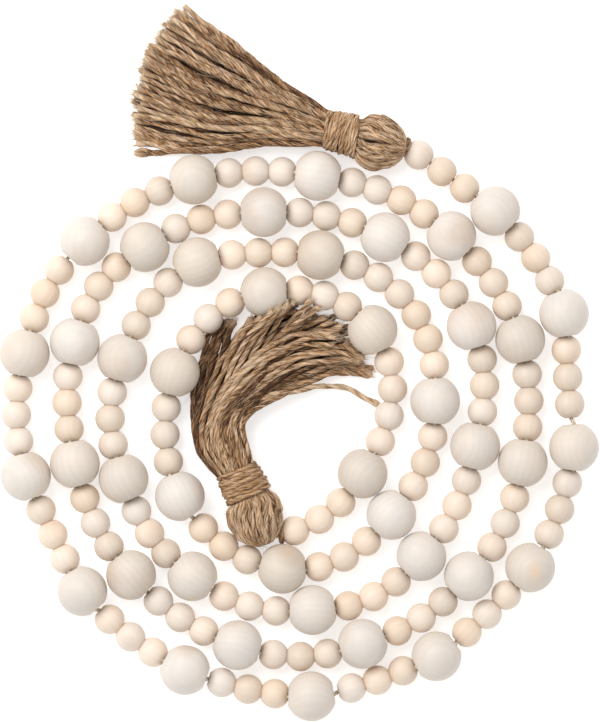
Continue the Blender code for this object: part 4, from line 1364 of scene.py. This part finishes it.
class GARLAND_OT_string(bpy.types.Operator):
    """Make the string that the beads are threaded on"""

    bl_idname = "garland.string"
    bl_label = "String"

    def execute(self, context):
        settings = context.scene.garland_beads
        beads = [bead for run in fitted(string_runs()) for bead in run]
        # The string's ends are hidden in the heads.
        places = [STRING_START + np.array([-3.0, 0.2])]
        heights = [TIP_HEIGHT]
        for bead in beads:
            places += [bead.place - bead.before.room * bead.heading, bead.place + bead.after.room * bead.heading]
            heights += [bead_radius(bead)] * 2
        places.append(STRING_END + np.array([-8.5, -1.5]))
        heights.append(TIP_HEIGHT)
        line = smoothed(resampled(flat_to_solid(places, np.array(heights)), STRING_STEP)[None], 2)
        rings = line.shape[1]
        radii = np.full((1, rings), settings.string_diameter / MM / 2)
        turns = (2 * math.pi * np.arange(rings) * STRING_STEP / STRING_TWIST)[None]
        surface = tubes(line, UP, radii, turns, 8, plies=2, tone=0.6)
        colours = [to_linear(hex_colour) for hex_colour in ("B9A077", "D2C2A5", "E2DACA")]
        finish = yarn_finish("twisted_pale_string", *colours, groove_shade=0.8, streaked=0.95, sheen=0.1)
        add_piece("string", surface, finish)
        return {"FINISHED"}


class GARLAND_OT_tassels(bpy.types.Operator):
    """Make the skirts and the folded heads of both tassels, with their stray fibres"""

    bl_idname = "garland.tassels"
    bl_label = "Tassels"

    def execute(self, context):
        settings = context.scene.garland_tassels
        jute = (settings.dark, settings.mid, settings.light)
        pale = (settings.mid, settings.light, to_linear("E6D6BC"))
        yarn = yarn_finish("jute_yarn", *jute, groove_shade=0.62, streaked=0.68, sheen=0.05)
        fibre = yarn_finish("stray_jute_fibre", *pale, groove_shade=1.0, streaked=0.95, sheen=0.1)
        thickness = settings.fibre_thickness / MM
        for number, tassel in enumerate(TASSELS):
            chance = np.random.default_rng(SEED + number)
            node = f"tassel_{tassel.name}"
            head = joined([folded_head(tassel, settings.yarn_scale, chance), core(tassel)])
            add_piece(f"folded_head_{tassel.name}", head, yarn, [node])
            # The strands and the lines that fibres leave start from the same seed, so that they are the same.
            strands = skirt(tassel, settings.yarn_scale, np.random.default_rng(SEED + number))
            add_piece(f"skirt_{tassel.name}", strands, yarn, [node])
            lines, radii, _ = skirt_lines(tassel, np.random.default_rng(SEED + number))
            folds, _ = head_lines(tassel, FUZZY_FOLDS, FUZZY_DEPTH, chance)
            rounds = np.full(folds.shape[:2], FUZZY_RADIUS)
            fibres = [
                stray_fibres(lines, radii, settings.fibres, FIBRE_LENGTH, thickness, chance),
                stray_fibres(folds, rounds, settings.fibres // 4, FIBRE_LENGTH / 2, thickness, chance),
                frayed_ends(lines, radii, FRAYED, thickness * FRAYED_THICKER, chance),
            ]
            add_piece(f"fibres_{tassel.name}", joined(fibres), fibre)
        return {"FINISHED"}


class GARLAND_OT_bindings(bpy.types.Operator):
    """Make the yarn wound round the neck of each tassel"""

    bl_idname = "garland.bindings"
    bl_label = "Bindings"

    def execute(self, context):
        settings = context.scene.garland_tassels
        jute = (settings.dark, settings.mid, settings.light)
        yarn = yarn_finish("fine_jute_yarn", *jute, groove_shade=0.68, streaked=0.5, sheen=0.05)
        for number, tassel in enumerate(TASSELS):
            chance = np.random.default_rng(SEED * 3 + number)
            surface = binding(tassel, settings.binding_yarn / MM, chance)
            add_piece(f"wound_{tassel.name}", surface, yarn, [f"binding_{tassel.name}"])
        return {"FINISHED"}


class GARLAND_OT_stage(bpy.types.Operator):
    """Make the floor, the lights and the camera"""

    bl_idname = "garland.stage"
    bl_label = "Stage"

    def execute(self, context):
        settings = context.scene.garland_stage
        scene = context.scene
        mesh = bpy.data.meshes.new("floor")
        corners = [(x * FLOOR_REACH, y * FLOOR_REACH, 0.0) for x, y in ((-1, -1), (1, -1), (1, 1), (-1, 1))]
        mesh.from_pydata(corners, [], [(0, 1, 2, 3)])
        mesh.materials.append(floor_finish(settings))
        floor = bpy.data.objects.new("floor", mesh)
        scene.collection.objects.link(floor)

        # The plain transform keeps white paper white, as a catalogue photograph does.
        scene.view_settings.view_transform = "Standard"
        world = scene.world or bpy.data.worlds.new("studio")
        scene.world = world
        world.use_nodes = True
        backdrop = world.node_tree.nodes["Background"]
        backdrop.inputs["Color"].default_value = (1.0, 1.0, 1.0, 1.0)
        backdrop.inputs["Strength"].default_value = settings.around

        lamp = bpy.data.lights.new("main_light", "AREA")
        lamp.shape = "DISK"
        lamp.size = LAMP_WIDE
        lamp.energy = settings.key
        light = bpy.data.objects.new("main_light", lamp)
        light.location = LAMP_PLACE
        light.rotation_euler = (-Vector(light.location)).to_track_quat("-Z", "Y").to_euler()
        scene.collection.objects.link(light)

        data = bpy.data.cameras.new("camera")
        data.sensor_width = CAMERA_SENSOR
        data.lens = CAMERA_SENSOR * CAMERA_HEIGHT / (FRAME_TALL * PIXEL * MM)
        data.clip_start, data.clip_end = 0.01, 50.0
        camera = bpy.data.objects.new("camera", data)
        camera.location = (0.0, 0.0, CAMERA_HEIGHT + AIM_HEIGHT)
        scene.collection.objects.link(camera)
        scene.camera = camera
        return {"FINISHED"}


class GARLAND_PT_panel(bpy.types.Panel):
    """The garland's pieces and settings"""

    bl_label = "Wood bead garland"
    bl_idname = "GARLAND_PT_panel"
    bl_space_type = "VIEW_3D"
    bl_region_type = "UI"
    bl_category = "Garland"

    def draw(self, context):
        for group, operators in (
            ("garland_beads", ("garland.beads", "garland.string")),
            ("garland_tassels", ("garland.tassels", "garland.bindings")),
            ("garland_stage", ("garland.stage",)),
        ):
            box = self.layout.box()
            settings = getattr(context.scene, group)
            for key in settings.bl_rna.properties.keys():
                if key not in ("rna_type", "name"):
                    box.prop(settings, key)
            for operator in operators:
                box.operator(operator)


GROUPS = {"garland_beads": BeadSettings, "garland_tassels": TasselSettings, "garland_stage": StageSettings}
OPERATORS = [GARLAND_OT_beads, GARLAND_OT_string, GARLAND_OT_tassels, GARLAND_OT_bindings, GARLAND_OT_stage]
CLASSES = [*GROUPS.values(), *OPERATORS, GARLAND_PT_panel]


def register():
    for item in CLASSES:
        bpy.utils.register_class(item)
    for name, group in GROUPS.items():
        setattr(bpy.types.Scene, name, PointerProperty(type=group))


def unregister():
    for name in GROUPS:
        delattr(bpy.types.Scene, name)
    for item in reversed(CLASSES):
        bpy.utils.unregister_class(item)


def main():
    """Registers the add-on and makes every piece in order."""
    register()
    bpy.ops.garland.beads()
    bpy.ops.garland.string()
    bpy.ops.garland.tassels()
    bpy.ops.garland.bindings()
    bpy.ops.garland.stage()


if __name__ == "__main__":
    main()
